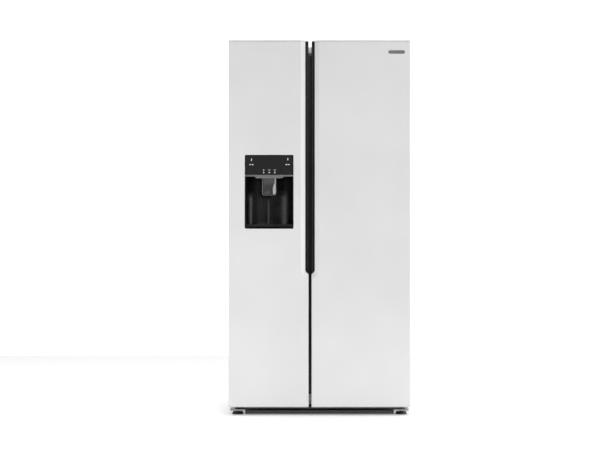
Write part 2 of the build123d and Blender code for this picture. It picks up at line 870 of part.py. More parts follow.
def dispenser_paddle():
    """Translucent paddle on its pivot pin, with a raised rim."""
    half = paddle_width / 2
    low = paddle_pivot_z - paddle_drop
    with BuildPart() as paddle:
        y_ends = (paddle_pivot_y - paddle_thickness / 2, paddle_pivot_y + paddle_thickness / 2)
        x_ends = (dispenser_x - half, dispenser_x + half)
        block(x_ends, y_ends, (low, paddle_pivot_z))
        corners = paddle.edges().filter_by(Axis.Y).group_by(Axis.Z)[0]
        fillet(corners, paddle_corner)
        inner_x = (dispenser_x - half + 3 * paddle_rib, dispenser_x + half - 3 * paddle_rib)
        dish_y = (y_ends[0] - 1, y_ends[0] + paddle_rib)
        dish_z = (low + 3 * paddle_rib, paddle_pivot_z - 3 * paddle_rib)
        block(inner_x, dish_y, dish_z, Mode.SUBTRACT)
        reach = half + paddle_ear_gap + paddle_ear_width
        x_pin = (dispenser_x - reach, dispenser_x + reach)
        crosswise(*x_pin, paddle_pivot_y, paddle_pivot_z, paddle_barrel_radius)
    return paddle


def ice_chute_flap():
    """Flap that closes the ice passage, with its pin."""
    half = chute_half_width
    rear = face_y + chute_outlet_rear - flap_clearance
    with BuildPart() as flap:
        z_ends = (flap_pivot_z, flap_pivot_z + flap_thickness)
        block((dispenser_x - half, dispenser_x + half), (flap_pivot_y, rear), z_ends)
        reach = half + flap_clearance + flap_ear_width
        ends = (dispenser_x - reach, dispenser_x + reach)
        crosswise(*ends, flap_pivot_y, flap_pivot_z, flap_pivot_radius)
    return flap


def drip_tray():
    """Removable tray with bars across its top."""
    floor_z = dispenser_bottom_z + dispenser_wall + dispenser_taper_z
    front = face_y + 2
    rear = front + drip_tray_depth
    slope = dispenser_taper_x / (dispenser_depth - dispenser_rim_depth)
    half_front = dispenser_width / 2 - dispenser_wall - drip_tray_clearance
    narrowing = slope * (rear - face_y - dispenser_rim_depth)
    half_rear = half_front - narrowing - drip_tray_clearance
    shoulder = face_y + dispenser_rim_depth - drip_tray_wall
    with BuildPart() as tray:
        with BuildSketch(Plane.XY.offset(floor_z)) as plan:
            with BuildLine():
                Polyline(
                    (dispenser_x - half_front, front),
                    (dispenser_x + half_front, front),
                    (dispenser_x + half_front, shoulder),
                    (dispenser_x + half_rear, rear),
                    (dispenser_x - half_rear, rear),
                    (dispenser_x - half_front, shoulder),
                    close=True,
                )
            make_face()
        extrude(plan.sketch, amount=drip_tray_height)
        with BuildSketch(Plane.XY.offset(floor_z + drip_tray_wall)) as well:
            add(plan.sketch.moved(Location((0, 0, drip_tray_wall))))
            offset(amount=-drip_tray_wall, kind=Kind.INTERSECTION)
        extrude(well.sketch, amount=drip_tray_height, mode=Mode.SUBTRACT)
        bar_z = (floor_z + drip_tray_height - drip_tray_wall, floor_z + drip_tray_height)
        pitch = 2 * half_rear / drip_bar_count
        for i in range(drip_bar_count):
            centre = dispenser_x + (i - (drip_bar_count - 1) / 2) * pitch
            x_ends = (centre - drip_bar_width / 2, centre + drip_bar_width / 2)
            block(x_ends, (front, rear), bar_z)
    return tray


def badge():
    """Blank oval badge on the right door."""
    with BuildPart() as plate:
        x = right_x - badge_from_side
        z = door_top_z - badge_below_top
        with BuildSketch(Plane.XZ.offset(-face_y)) as outline:
            with Locations((x, z)):
                RectangleRounded(badge_width, badge_height, badge_corner)
        extrude(outline.sketch, amount=badge_proud, dir=(0, -1, 0))
    return plate


# ---------------------------------------------------------------- cabinet
def room_void(leaf, grow, front_y, mode=Mode.ADD):
    """A compartment's inside, grown by grow, with the step over the machine bay."""
    x_ends = (
        min(leaf.room_outer_x, leaf.room_inner_x) - grow,
        max(leaf.room_outer_x, leaf.room_inner_x) + grow,
    )
    z_low = room_floor_z - grow
    z_high = room_ceiling_z + grow
    block(x_ends, (front_y, step_front_y + grow), (z_low, z_high), mode)
    block(x_ends, (front_y, room_rear_y + grow), (step_top_z - grow, z_high), mode)


def cabinet_shell():
    """Steel wrapper: two sides, a top and the front ring round both openings."""
    outside = (cabinet_left, cabinet_right)
    z_ends = (cabinet_bottom_z, cabinet_top)
    with BuildPart() as shell:
        block(outside, (cabinet_front, rear_y), z_ends)
        top_edges = shell.edges().filter_by(Axis.Y).group_by(Axis.Z)[-1]
        fillet(top_edges, door_edge_radius)
        inside = (cabinet_left + shell_sheet, cabinet_right - shell_sheet)
        z_void = (cabinet_bottom_z - 1, cabinet_top - shell_sheet)
        block(inside, (ring_back_y, rear_y + 1), z_void, Mode.SUBTRACT)
        for leaf in (freezer, fridge):
            room_void(leaf, liner_wall, cabinet_front - 1, Mode.SUBTRACT)
        mullion_slot(Mode.SUBTRACT)
        for leaf in (freezer, fridge):
            for x, y in upper_screw_spots(leaf):
                hole = screw_radius + screw_fit
                upright(x, y, hole, cabinet_top - 2 * shell_sheet, cabinet_top + 1, Mode.SUBTRACT)
    return shell


def mullion_slot(mode=Mode.ADD):
    """The strip between the two openings, up to just over their tops."""
    x_ends = (freezer_x1 + liner_wall, fridge_x0 - liner_wall)
    y_ends = (cabinet_front, cabinet_front + mullion_cover_thickness)
    z_ends = (room_floor_z, cabinet_top - mullion_cover_top_drop)
    block(x_ends, y_ends, z_ends, mode)


def mullion_cover():
    """Dark strip on the divider's front edge."""
    with BuildPart() as cover:
        mullion_slot()
    return cover


def cabinet_foam():
    """Insulation between the wrapper, the liners and the rear panel."""
    inside = (cabinet_left + shell_sheet, cabinet_right - shell_sheet)
    with BuildPart() as foam:
        y_ends = (ring_back_y, rear_panel_y)
        block(inside, y_ends, (cabinet_bottom_z, cabinet_top - shell_sheet))
        corner = foam.edges().filter_by(Axis.Y).group_by(Axis.Z)[-1]
        fillet(corner, door_edge_radius - shell_sheet)
        for leaf in (freezer, fridge):
            room_void(leaf, liner_wall, ring_back_y - 1, Mode.SUBTRACT)
        bay_y = (bay_front_y - bay_sheet, rear_panel_y + 1)
        bay_z = (cabinet_bottom_z - 1, bay_top_z + bay_sheet)
        block(inside, bay_y, bay_z, Mode.SUBTRACT)
        mullion_slot(Mode.SUBTRACT)
    return foam


def shelf_heights(count, top_z):
    """Shelf heights from just over the upper drawer, evenly up to top_z."""
    pitch = (top_z - first_shelf_z) / count
    return [first_shelf_z + i * pitch for i in range(count)]


bucket_shelf_z = bucket_floor_z - bucket_shelf_gap - shelf_thickness
fridge_shelves = shelf_heights(fridge_shelf_count, room_ceiling_z - top_shelf_room)
freezer_shelves = shelf_heights(freezer_shelf_count, bucket_shelf_z)


def room_liner(leaf, shelf_zs, ledge_rear_y):
    """Moulded tub of a compartment, with a ledge under each end of each shelf."""
    with BuildPart() as liner:
        room_void(leaf, liner_wall, cabinet_front)
        room_void(leaf, 0, cabinet_front - 1, Mode.SUBTRACT)
        for z in shelf_zs:
            for wall_x, way in (
                (leaf.room_outer_x, -leaf.side),
                (leaf.room_inner_x, leaf.side),
            ):
                x_ends = (wall_x - way, wall_x + way * ledge_width)
                y_ends = (shelf_front_y + ledge_width, ledge_rear_y)
                block(x_ends, y_ends, (z - ledge_height, z))
    return liner


def glass_shelves():
    """Glass shelves of both compartments, lying on the liners' ledges."""
    freezer_rear = evaporator_cover_y - shelf_rear_gap
    fridge_rear = room_rear_y - duct_depth - shelf_rear_gap
    behind_spout = drawer_front_y + 2 * spout_half_width + spout_gap
    with BuildPart() as shelves:
        for leaf, zs, front, rear in (
            (freezer, freezer_shelves, shelf_front_y, freezer_rear),
            (freezer, [bucket_shelf_z], behind_spout, freezer_rear),
            (fridge, fridge_shelves, shelf_front_y, fridge_rear),
        ):
            low = min(leaf.room_outer_x, leaf.room_inner_x) + shelf_side_gap
            high = max(leaf.room_outer_x, leaf.room_inner_x) - shelf_side_gap
            for z in zs:
                block((low, high), (front, rear), (z, z + shelf_thickness))
    return shelves


def rear_panel():
    """Sheet that closes the back above the machine bay."""
    with BuildPart() as panel:
        x_ends = (cabinet_left + shell_sheet, cabinet_right - shell_sheet)
        y_ends = (rear_panel_y, rear_panel_y + rear_sheet)
        block(x_ends, y_ends, (bay_top_z + bay_sheet, cabinet_top - shell_sheet))
        top = panel.edges().filter_by(Axis.Y).group_by(Axis.Z)[-1]
        fillet(top, door_edge_radius - shell_sheet)
    return panel


def roller_x(side):
    """X of a rear roller's middle."""
    edge = cabinet_left if side < 0 else cabinet_right
    return edge - side * roller_from_side


def base_pan():
    """Base sheet, the machine bay's front wall and roof, and the roller lugs."""
    x_ends = (cabinet_left, cabinet_right)
    bay_x = (cabinet_left + shell_sheet, cabinet_right - shell_sheet)
    with BuildPart() as base:
        block(x_ends, (base_front_y, rear_panel_y), (base_bottom_z, cabinet_bottom_z))
        flange_y = (base_front_y, base_front_y + base_sheet)
        flange_z = (base_bottom_z - base_flange_height, base_bottom_z)
        block((-kick_half_width, kick_half_width), flange_y, flange_z)
        wall_y = (bay_front_y - bay_sheet, bay_front_y)
        block(bay_x, wall_y, (cabinet_bottom_z, bay_top_z + bay_sheet))
        roof_y = (bay_front_y - bay_sheet, rear_panel_y)
        block(bay_x, roof_y, (bay_top_z, bay_top_z + bay_sheet))
        for side in (-1, 1):
            for way in (-1, 1):
                inner = roller_x(side) + way * (roller_width / 2 + roller_lug_gap)
                outer = inner + way * roller_lug_thickness
                lug_y = (roller_y - roller_lug_half, roller_y + roller_lug_half)
                lug_z = (roller_radius - 2 * roller_axle_radius, base_bottom_z)
                block((inner, outer), lug_y, lug_z)
            reach = roller_width / 2 + roller_lug_gap + roller_lug_thickness
            x0 = roller_x(side) - reach
            crosswise(x0, x0 + 2 * reach, roller_y, roller_radius, roller_axle_radius)
        for leaf in (freezer, fridge):
            for x, y in lower_screw_spots(leaf):
                hole = screw_radius + screw_fit
                upright(x, y, hole, base_bottom_z - 1, cabinet_bottom_z + 1, Mode.SUBTRACT)
    return base


def rear_roller(side):
    """Plastic wheel on the base's axle."""
    with BuildPart() as roller:
        x = roller_x(side)
        half = roller_width / 2
        crosswise(x - half, x + half, roller_y, roller_radius, roller_radius)
        rims = roller.edges().filter_by(GeomType.CIRCLE)
        fillet(rims, roller_width / 9)
        bore = roller_axle_radius + roller_axle_fit
        crosswise(x - half - 1, x + half + 1, roller_y, roller_radius, bore, Mode.SUBTRACT)
    return roller


def bay_cover():
    """Vented sheet over the machine bay at the back."""
    x_ends = (cabinet_left + shell_sheet, cabinet_right - shell_sheet)
    y_ends = (rear_panel_y, rear_panel_y + bay_cover_sheet)
    z_ends = (cabinet_bottom_z - base_sheet, bay_top_z)
    middle_z = (z_ends[0] + z_ends[1]) / 2
    clear_span = 2 * (valve_x - 2 * valve_body)
    with BuildPart() as cover:
        block(x_ends, y_ends, z_ends)
        with Locations((0, rear_panel_y, middle_z)):
            with GridLocations(clear_span / bay_slot_columns, 1, bay_slot_columns, 1):
                slot_column(z_ends[1] - z_ends[0])
        through = (y_ends[0] - 1, y_ends[1] + 1)
        lengthwise(valve_x, *through, valve_z, valve_thread_radius + 1, Mode.SUBTRACT)
        lengthwise(gland_x, *through, gland_z, gland_radius + screw_fit, Mode.SUBTRACT)
    return cover


def slot_column(height):
    """One column of vent slots at each of the current places."""
    pitch = height / (bay_slot_rows + 2)
    for row in range(bay_slot_rows):
        rise = (row - (bay_slot_rows - 1) / 2) * pitch
        with Locations((0, 0, rise)):
            Box(bay_slot_length, 4 * bay_cover_sheet, bay_slot_height, mode=Mode.SUBTRACT)


# ---------------------------------------------------------------- hinges and feet
def bracket_span(leaf):
    """X planes of a lower hinge bracket."""
    outer = leaf.outer_x - leaf.side * bracket_side_inset
    return outer, outer - leaf.side * bracket_width


def foot_centre(leaf):
    """Plan position of a levelling foot."""
    return leaf.outer_x - leaf.side * foot_from_side, cabinet_front + foot_behind_cabinet_front


def lower_screw_spots(leaf):
    """Plan positions of the two screws that hold a lower bracket."""
    outer, inner = bracket_span(leaf)
    middle = (outer + inner) / 2
    y = (base_front_y + bracket_riser_front / 4 + cabinet_front + bracket_rear_reach) / 2
    return [(middle - screw_pitch / 2, y), (middle + screw_pitch / 2, y)]


def lower_hinge(leaf):
    """Bracket under the door with its pin, the door's bushing and a riser."""
    x_ends = bracket_span(leaf)
    top_z = bracket_low_z + bracket_thickness
    rear = cabinet_front + bracket_rear_reach
    with BuildPart() as hinge:
        block(x_ends, (face_y + bracket_front_inset, rear), (bracket_low_z, top_z))
        front = hinge.edges().filter_by(Axis.Z).group_by(Axis.Y)[0]
        fillet(front, bracket_corner)
        riser_y = (base_front_y + bracket_riser_front / 4, rear)
        block(x_ends, riser_y, (top_z, base_bottom_z))
        upright(leaf.axis_x, axis_y, bushing_radius, top_z, door_bottom_z - bushing_gap)
        pin_top = door_bottom_z + lower_pin_reach
        upright(leaf.axis_x, axis_y, hinge_pin_radius, top_z, pin_top)
        x, y = foot_centre(leaf)
        bore = foot_stud_radius + foot_stud_fit
        upright(x, y, bore, bracket_low_z - 1, top_z + 1, Mode.SUBTRACT)
        for x, y in lower_screw_spots(leaf):
            hole = screw_radius + screw_fit
            upright(x, y, hole, bracket_low_z - 1, base_bottom_z + 1, Mode.SUBTRACT)
    return hinge


def levelling_foot(leaf):
    """Foot pad on its threaded stud."""
    x, y = foot_centre(leaf)
    with BuildPart() as foot:
        with BuildSketch(Plane.XY) as pad:
            with Locations((x, y)):
                Circle(foot_radius)
        with BuildSketch(Plane.XY.offset(foot_height)) as shoulder:
            with Locations((x, y)):
                Circle(foot_top_radius)
        loft(sections=[pad.sketch.faces()[0], shoulder.sketch.faces()[0]], ruled=True)
        upright(x, y, foot_stud_radius, foot_height / 2, foot_stud_top)
    return foot


def upper_screw_spots(leaf):
    """Plan positions of the two screws that hold an upper hinge."""
    y = cabinet_front + leaf_base_length / 2
    x = leaf.axis_x - leaf.side * (leaf_base_width / 2 - leaf_arm_half)
    return [(x, y), (x, y + screw_pitch)]


def upper_hinge(leaf):
    """Cranked leaf on the cabinet's top, with the pin that points down."""
    inner = leaf.axis_x - leaf.side * (leaf_base_width - leaf_arm_half)
    outer = leaf.axis_x + leaf.side * leaf_arm_half
    rear = cabinet_front + leaf_base_length
    riser_y = (cabinet_front + hinge_cover_wall + 1, cabinet_front + hinge_cover_wall + 1 + leaf_sheet)
    with BuildPart() as hinge:
        block((inner, outer), (riser_y[0], rear), (cabinet_top, cabinet_top + leaf_sheet))
        arm_x = (leaf.axis_x - leaf_arm_half, leaf.axis_x + leaf_arm_half)
        block(arm_x, riser_y, (cabinet_top, leaf_z + leaf_sheet))
        block(arm_x, (axis_y, riser_y[1]), (leaf_z, leaf_z + leaf_sheet))
        upright(leaf.axis_x, axis_y, leaf_arm_half, leaf_z, leaf_z + leaf_sheet)
        upright(leaf.axis_x, axis_y, hinge_pin_radius, leaf_z - upper_pin_reach, leaf_z)
        for x, y in upper_screw_spots(leaf):
            hole = screw_radius + screw_fit
            upright(x, y, hole, cabinet_top - 1, cabinet_top + leaf_sheet + 1, Mode.SUBTRACT)
    return hinge


def hinge_covers():
    """The two covers over the upper hinges."""
    top = door_top_z - hinge_cover_top_clearance
    with BuildPart() as covers:
        for leaf in (freezer, fridge):
            outer = leaf.outer_x - leaf.side * cabinet_side_inset
            inner = outer - leaf.side * hinge_cover_width
            y_ends = (cabinet_front, cabinet_front + hinge_cover_length)
            with BuildPart(mode=Mode.PRIVATE) as cover:
                block((outer, inner), y_ends, (cabinet_top, top))
                fillet(cover.edges().filter_by(Axis.Z).group_by(Axis.Y)[-1], hinge_cover_corner)
                fillet(cover.faces().sort_by(Axis.Z)[-1].edges(), hinge_cover_wall / 2)
                wall = hinge_cover_wall
                x_void = (outer - leaf.side * wall, inner + leaf.side * wall)
                y_void = (y_ends[0] + wall, y_ends[1] - wall)
                block(x_void, y_void, (cabinet_top - 1, top - wall), Mode.SUBTRACT)
                slot = leaf_arm_half + hinge_cover_slot_clearance
                slot_x = (leaf.axis_x - slot, leaf.axis_x + slot)
                slot_top = leaf_z + leaf_sheet + hinge_cover_slot_clearance
                slot_z = (leaf_z - hinge_cover_slot_clearance, slot_top)
                block(slot_x, (y_ends[0] - 1, y_void[0] + 1), slot_z, Mode.SUBTRACT)
            add(cover.part)
    return covers


def hinge_screws():
    """Screws of the four hinges."""
    with BuildPart() as screws:
        for leaf in (freezer, fridge):
            for x, y in upper_screw_spots(leaf):
                head_z = cabinet_top + leaf_sheet
                upright(x, y, screw_radius, cabinet_top - shell_sheet, head_z)
                upright(x, y, screw_head_radius, head_z, head_z + screw_head_height)
            for x, y in lower_screw_spots(leaf):
                upright(x, y, screw_radius, bracket_low_z, cabinet_bottom_z)
                upright(x, y, screw_head_radius, bracket_low_z - screw_head_height, bracket_low_z)
    return screws


def kick_plate():
    """Bowed plate between the feet, with the arms that clip to the base."""
    with BuildPart() as plate:
        with BuildSketch(Plane.YZ.offset(-kick_half_width)) as section:
            with BuildLine():
                middle = (kick_low_z + kick_top_z) / 2
                low = (kick_front_y + kick_bulge, kick_low_z)
                high = (kick_front_y + kick_bulge, kick_top_z)
                ThreePointArc(low, (kick_front_y, middle), high)
                Polyline(high, (kick_back_y, kick_top_z), (kick_back_y, kick_low_z), low)
            make_face()
        extrude(section.sketch, amount=2 * kick_half_width, dir=(1, 0, 0))
        arm_z = (kick_top_z - 2 * kick_arm_height, kick_top_z - kick_arm_height)
        for i in range(kick_arm_count):
            x = (i - (kick_arm_count - 1) / 2) * kick_arm_spacing
            x_ends = (x - kick_arm_width / 2, x + kick_arm_width / 2)
            block(x_ends, (kick_back_y, base_front_y), arm_z)
    return plate


# ---------------------------------------------------------------- drawers
def drawer_span(leaf):
    """X planes of a drawer; it keeps clear of the part-open door's bins."""
    outer = leaf.axis_x - leaf.side * drawer_hinge_side_lateral
    inner = leaf.room_inner_x + leaf.side * drawer_side_gap
    return outer, inner


def drawer(leaf, floor_z, height, rear_y):
    """Open tub with a thick front and a finger grip under its front edge."""
    outer, inner = drawer_span(leaf)
    x_ends = (min(outer, inner), max(outer, inner))
    top = floor_z + height
    with BuildPart() as tub:
        block(x_ends, (drawer_front_y, rear_y), (floor_z, top))
        x_void = (x_ends[0] + drawer_wall, x_ends[1] - drawer_wall)
        y_void = (drawer_front_y + drawer_front_wall, rear_y - drawer_wall)
        block(x_void, y_void, (floor_z + drawer_wall, top + 1), Mode.SUBTRACT)
        grip_x = (x_ends[0] + drawer_grip_height, x_ends[1] - drawer_grip_height)
        grip_y = (drawer_front_y - 1, drawer_front_y + drawer_front_wall - drawer_wall)
        grip_z = (top - drawer_grip_height, top - drawer_grip_depth)
        block(grip_x, grip_y, grip_z, Mode.SUBTRACT)
    return tub


# ---------------------------------------------------------------- ice and water
def ice_bucket():
    """Open bucket with the spout that meets the door's ice passage."""
    x_ends = (dispenser_x - bucket_half_width, dispenser_x + bucket_half_width)
    top = bucket_floor_z + bucket_height
    wall = bucket_wall
    spout_front = dyke_rear_y + spout_gap
    spout_x = (dispenser_x - spout_half_width, dispenser_x + spout_half_width)
    spout_low = bucket_floor_z - spout_drop
    with BuildPart() as bucket:
        block(x_ends, (drawer_front_y, bucket_rear_y), (bucket_floor_z, top))
        spout_y = (spout_front, drawer_front_y + 2 * spout_half_width)
        block(spout_x, spout_y, (spout_low, bucket_floor_z + 2 * wall))
        x_void = (x_ends[0] + wall, x_ends[1] - wall)
        y_void = (drawer_front_y + wall, bucket_rear_y - wall)
        block(x_void, y_void, (bucket_floor_z + wall, top + 1), Mode.SUBTRACT)
        throat_x = (spout_x[0] + wall, spout_x[1] - wall)
        throat_y = (spout_front - 1, spout_y[1] - wall)
        block(throat_x, throat_y, (spout_low + wall, bucket_floor_z), Mode.SUBTRACT)
        drop_y = (drawer_front_y + 2 * wall, spout_y[1] - wall)
        block(throat_x, drop_y, (spout_low + wall, bucket_floor_z + 3 * wall), Mode.SUBTRACT)
        pin = auger_pin_radius + hinge_pin_fit
        lengthwise(dispenser_x, drawer_front_y - 1, bucket_rear_y + 1, auger_z, pin, Mode.SUBTRACT)
    return bucket


def ice_auger():
    """Shaft with a spiral of paddles that walks the ice to the spout."""
    front = drawer_front_y + bucket_wall + auger_end_gap
    rear = bucket_rear_y - bucket_wall - auger_end_gap
    with BuildPart() as auger:
        lengthwise(dispenser_x, front, rear, auger_z, auger_shaft_radius)
        lengthwise(dispenser_x, drawer_front_y, bucket_rear_y, auger_z, auger_pin_radius)
        pitch = (rear - front) / (auger_blade_count + 1)
        for i in range(auger_blade_count):
            y = front + (i + 1) * pitch
            place = Location((dispenser_x, y, auger_z), (0, i * auger_twist, 0))
            with Locations(place):
                Box(2 * auger_blade_radius, auger_blade_thickness, auger_blade_width)
    return auger


def ice_maker():
    """Ice mould and its drive head, held on the freezer's side wall."""
    wall_x = freezer.room_outer_x + cover_side_gap / 2
    x_ends = (wall_x, wall_x + icemaker_width)
    front = axis_y + icemaker_front_behind_axis
    rear = front + icemaker_length
    z_ends = (icemaker_z, icemaker_z + icemaker_height)
    mould_y = (front + icemaker_head_length, rear)
    with BuildPart() as maker:
        block(x_ends, (front, mould_y[0]), z_ends)
        block(x_ends, mould_y, (icemaker_z, icemaker_z + icemaker_height / 2))
        pitch = (rear - mould_y[0]) / icemaker_cube_count
        cell_z = (icemaker_z + icemaker_wall, icemaker_z + icemaker_height)
        cell_x = (x_ends[0] + 6 * icemaker_wall, x_ends[1] - icemaker_wall)
        for i in range(icemaker_cube_count):
            y0 = mould_y[0] + i * pitch
            cell_y = (y0 + icemaker_wall / 2, y0 + pitch - icemaker_wall / 2)
            block(cell_x, cell_y, cell_z, Mode.SUBTRACT)
    return maker


def water_filter():
    """Filter cartridge with its head, under the fresh-food ceiling."""
    x = fridge_x1 - filter_wall_gap - filter_radius
    z = room_ceiling_z - filter_ceiling_gap - filter_radius
    front = axis_y + filter_front_behind_axis
    rear = front + filter_length
    with BuildPart() as cartridge:
        lengthwise(x, front, rear, z, filter_radius)
        head_y = (rear - filter_head_length, rear)
        head_x = (x - filter_radius - 2, fridge_x1 - cover_side_gap / 2)
        head_z = (z - filter_radius - 2, room_ceiling_z - cover_side_gap / 2)
        block(head_x, head_y, head_z)
        fillet(cartridge.edges().filter_by(GeomType.CIRCLE).group_by(Axis.Y)[0], filter_radius / 5)
    return cartridge


# ---------------------------------------------------------------- cold air
def evaporator_cover():
    """Panel in front of the evaporator, with the fan's port and motor boss."""
    x_ends = (freezer_x0 + cover_side_gap, freezer_x1 - cover_side_gap)
    y_ends = (evaporator_cover_y, evaporator_cover_y + evaporator_cover_sheet)
    z_ends = (step_top_z + cover_side_gap, room_ceiling_z - cover_side_gap)
    fan_z = step_top_z + evaporator_fan_rise
    x = (freezer_x0 + freezer_x1) / 2
    boss_rear = y_ends[1] + evaporator_boss_length
    with BuildPart() as cover:
        block(x_ends, y_ends, z_ends)
        lengthwise(x, y_ends[0] - 1, y_ends[1] + 1, fan_z, evaporator_fan_radius, Mode.SUBTRACT)
        bar = evaporator_boss_radius / 2
        block((x - evaporator_fan_radius, x + evaporator_fan_radius), y_ends, (fan_z - bar, fan_z + bar))
        block((x - bar, x + bar), y_ends, (fan_z - evaporator_fan_radius, fan_z + evaporator_fan_radius))
        lengthwise(x, y_ends[0], boss_rear, fan_z, evaporator_boss_radius)
        lengthwise(x, boss_rear, boss_rear + fan_hub_length, fan_z, fan_shaft_radius)
    return cover


def fan_blades(radius, hub_length):
    """Pitched blades round the hub, at the current place, with the shaft along Z."""
    root = fan_hub_radius - fan_blade_root
    span = radius - root
    reach = root + span / 2
    for i in range(fan_blade_count):
        turn = Location((0, 0, 0), (0, 0, i * 360 / fan_blade_count))
        blade = Location((reach, 0, 0), (fan_blade_pitch, 0, 0))
        with Locations(turn * blade):
            Box(span, hub_length + fan_blade_overhang, fan_blade_thickness)


def evaporator_fan():
    """Fan behind the evaporator cover's port."""
    x = (freezer_x0 + freezer_x1) / 2
    z = step_top_z + evaporator_fan_rise
    start = evaporator_cover_y + evaporator_cover_sheet + evaporator_boss_length + motor_gap
    length = fan_hub_length - 2 * motor_gap
    with BuildPart(Plane((x, start + length / 2, z), z_dir=(0, 1, 0))) as fan:
        Cylinder(fan_hub_radius, length)
        fan_blades(evaporator_fan_radius - evaporator_fan_tip_gap, length / 2)
        Cylinder(fan_shaft_radius + fan_shaft_fit, length + 2, mode=Mode.SUBTRACT)
    return fan


def evaporator():
    """Finned coil behind the freezer's rear cover, bracketed to the liner."""
    x_ends = (freezer_x0 + evaporator_side_gap, freezer_x1 - evaporator_side_gap)
    y0 = room_rear_y - evaporator_depth - evaporator_tube_radius
    y1 = room_rear_y - evaporator_tube_radius
    z0 = step_top_z + evaporator_rise
    z1 = z0 + evaporator_height
    with BuildPart() as coil:
        pitch = (x_ends[1] - x_ends[0]) / (evaporator_fin_count - 1)
        for i in range(evaporator_fin_count):
            x = x_ends[0] + i * pitch
            half = evaporator_fin_thickness / 2
            block((x - half, x + half), (y0, y1), (z0, z1))
        rise = evaporator_height / evaporator_tube_rows
        for row in range(evaporator_tube_rows):
            for y in (y0 + evaporator_depth / 4, y0 + 3 * evaporator_depth / 4):
                z = z0 + (row + 0.5) * rise
                tube_x = (x_ends[0] - tube_overhang, x_ends[1] + tube_overhang)
                crosswise(*tube_x, y, z, evaporator_tube_radius)
        for x in x_ends:
            half = 4 * evaporator_fin_thickness
            bracket_z = (z1 - evaporator_rise, z1)
            block((x - half, x + half), (y1 - 1, room_rear_y), bracket_z)
    return coil


def fridge_air_duct():
    """Air duct panel on the fresh-food compartment's rear wall."""
    x = (fridge_x0 + fridge_x1) / 2
    y_ends = (room_rear_y - duct_depth, room_rear_y)
    z_ends = (step_top_z + cover_side_gap, room_ceiling_z - duct_top_room)
    with BuildPart() as duct:
        block((x - duct_half_width, x + duct_half_width), y_ends, z_ends)
        fillet(duct.edges().filter_by(Axis.Z).group_by(Axis.Y)[0], duct_depth / 2)
        pitch = (z_ends[1] - first_shelf_z) / duct_slot_count
        for i in range(duct_slot_count):
            z = first_shelf_z + (i + 0.5) * pitch
            slot_y = (y_ends[0] - 1, y_ends[0] + duct_depth / 2)
            slot_z = (z - duct_slot_height / 2, z + duct_slot_height / 2)
            block((x - duct_slot_width, x + duct_slot_width), slot_y, slot_z, Mode.SUBTRACT)
    return duct


# ---------------------------------------------------------------- machine bay pieces
bay_middle_y = (bay_front_y + rear_panel_y) / 2
fan_z = cabinet_bottom_z + condenser_rise + condenser_pitch * (condenser_rows - 1) / 2


def compressor():
    """Sealed compressor on its two foot rails."""
    low = cabinet_bottom_z + compressor_rise
    with BuildPart() as pump:
        upright(compressor_x, bay_middle_y, compressor_radius, low, low + compressor_height)
        fillet(pump.edges().filter_by(GeomType.CIRCLE), compressor_dome_radius)
        for way in (-1, 1):
            y = bay_middle_y + way * compressor_foot_spread
            half = compressor_foot_length / 2
            x_ends = (compressor_x - half, compressor_x + half)
            y_ends = (y - compressor_foot_width / 2, y + compressor_foot_width / 2)
            block(x_ends, y_ends, (low, low + compressor_foot_sheet))
            for end in (-1, 1):
                grommet_x = compressor_x + end * (half - compressor_foot_width / 2)
                upright(grommet_x, y, compressor_foot_width / 3, cabinet_bottom_z, low)
    return pump


def condenser_coil():
    """Tube bank between two end plates that stand on the base."""
    with BuildPart() as coil:
        y_first = bay_middle_y - condenser_pitch * (condenser_columns - 1) / 2
        z_first = cabinet_bottom_z + condenser_rise
        for column in range(condenser_columns):
            for row in range(condenser_rows):
                y = y_first + column * condenser_pitch
                z = z_first + row * condenser_pitch
                tube_x = (condenser_x0 - tube_overhang, condenser_x1 + tube_overhang)
                crosswise(*tube_x, y, z, condenser_tube_radius)
        y_plate = (y_first - condenser_pitch / 2, bay_middle_y + condenser_pitch * condenser_columns / 2)
        top = z_first + condenser_pitch * (condenser_rows - 0.5)
        for x in (condenser_x0, condenser_x1):
            block((x, x + condenser_plate_sheet), y_plate, (cabinet_bottom_z, top))
    return coil


def condenser_fan():
    """Fan that draws air through the tube bank."""
    with BuildPart(Plane((fan_x, bay_middle_y, fan_z), z_dir=(1, 0, 0))) as fan:
        Cylinder(fan_hub_radius, fan_hub_length)
        fan_blades(fan_radius, fan_hub_length / 2)
        Cylinder(fan_shaft_radius + fan_shaft_fit, fan_hub_length + 2, mode=Mode.SUBTRACT)
    return fan


def condenser_fan_motor():
    """Motor with its shaft, on a post from the base."""
    start = fan_x + fan_hub_length / 2 + motor_gap
    end = start + motor_length
    with BuildPart() as motor:
        crosswise(start, end, bay_middle_y, fan_z, motor_radius)
        fillet(motor.edges().filter_by(GeomType.CIRCLE), motor_radius / 8)
        crosswise(fan_x - fan_hub_length / 2, start + 1, bay_middle_y, fan_z, fan_shaft_radius)
        half = motor_post_width / 2
        middle = (start + end) / 2
        post_x = (middle - motor_post_sheet / 2, middle + motor_post_sheet / 2)
        block(post_x, (bay_middle_y - half, bay_middle_y + half), (cabinet_bottom_z, fan_z))
        foot_x = (middle - half, middle + half)
        foot_z = (cabinet_bottom_z, cabinet_bottom_z + motor_post_sheet)
        block(foot_x, (bay_middle_y - 2 * half, bay_middle_y + 2 * half), foot_z)
    return motor


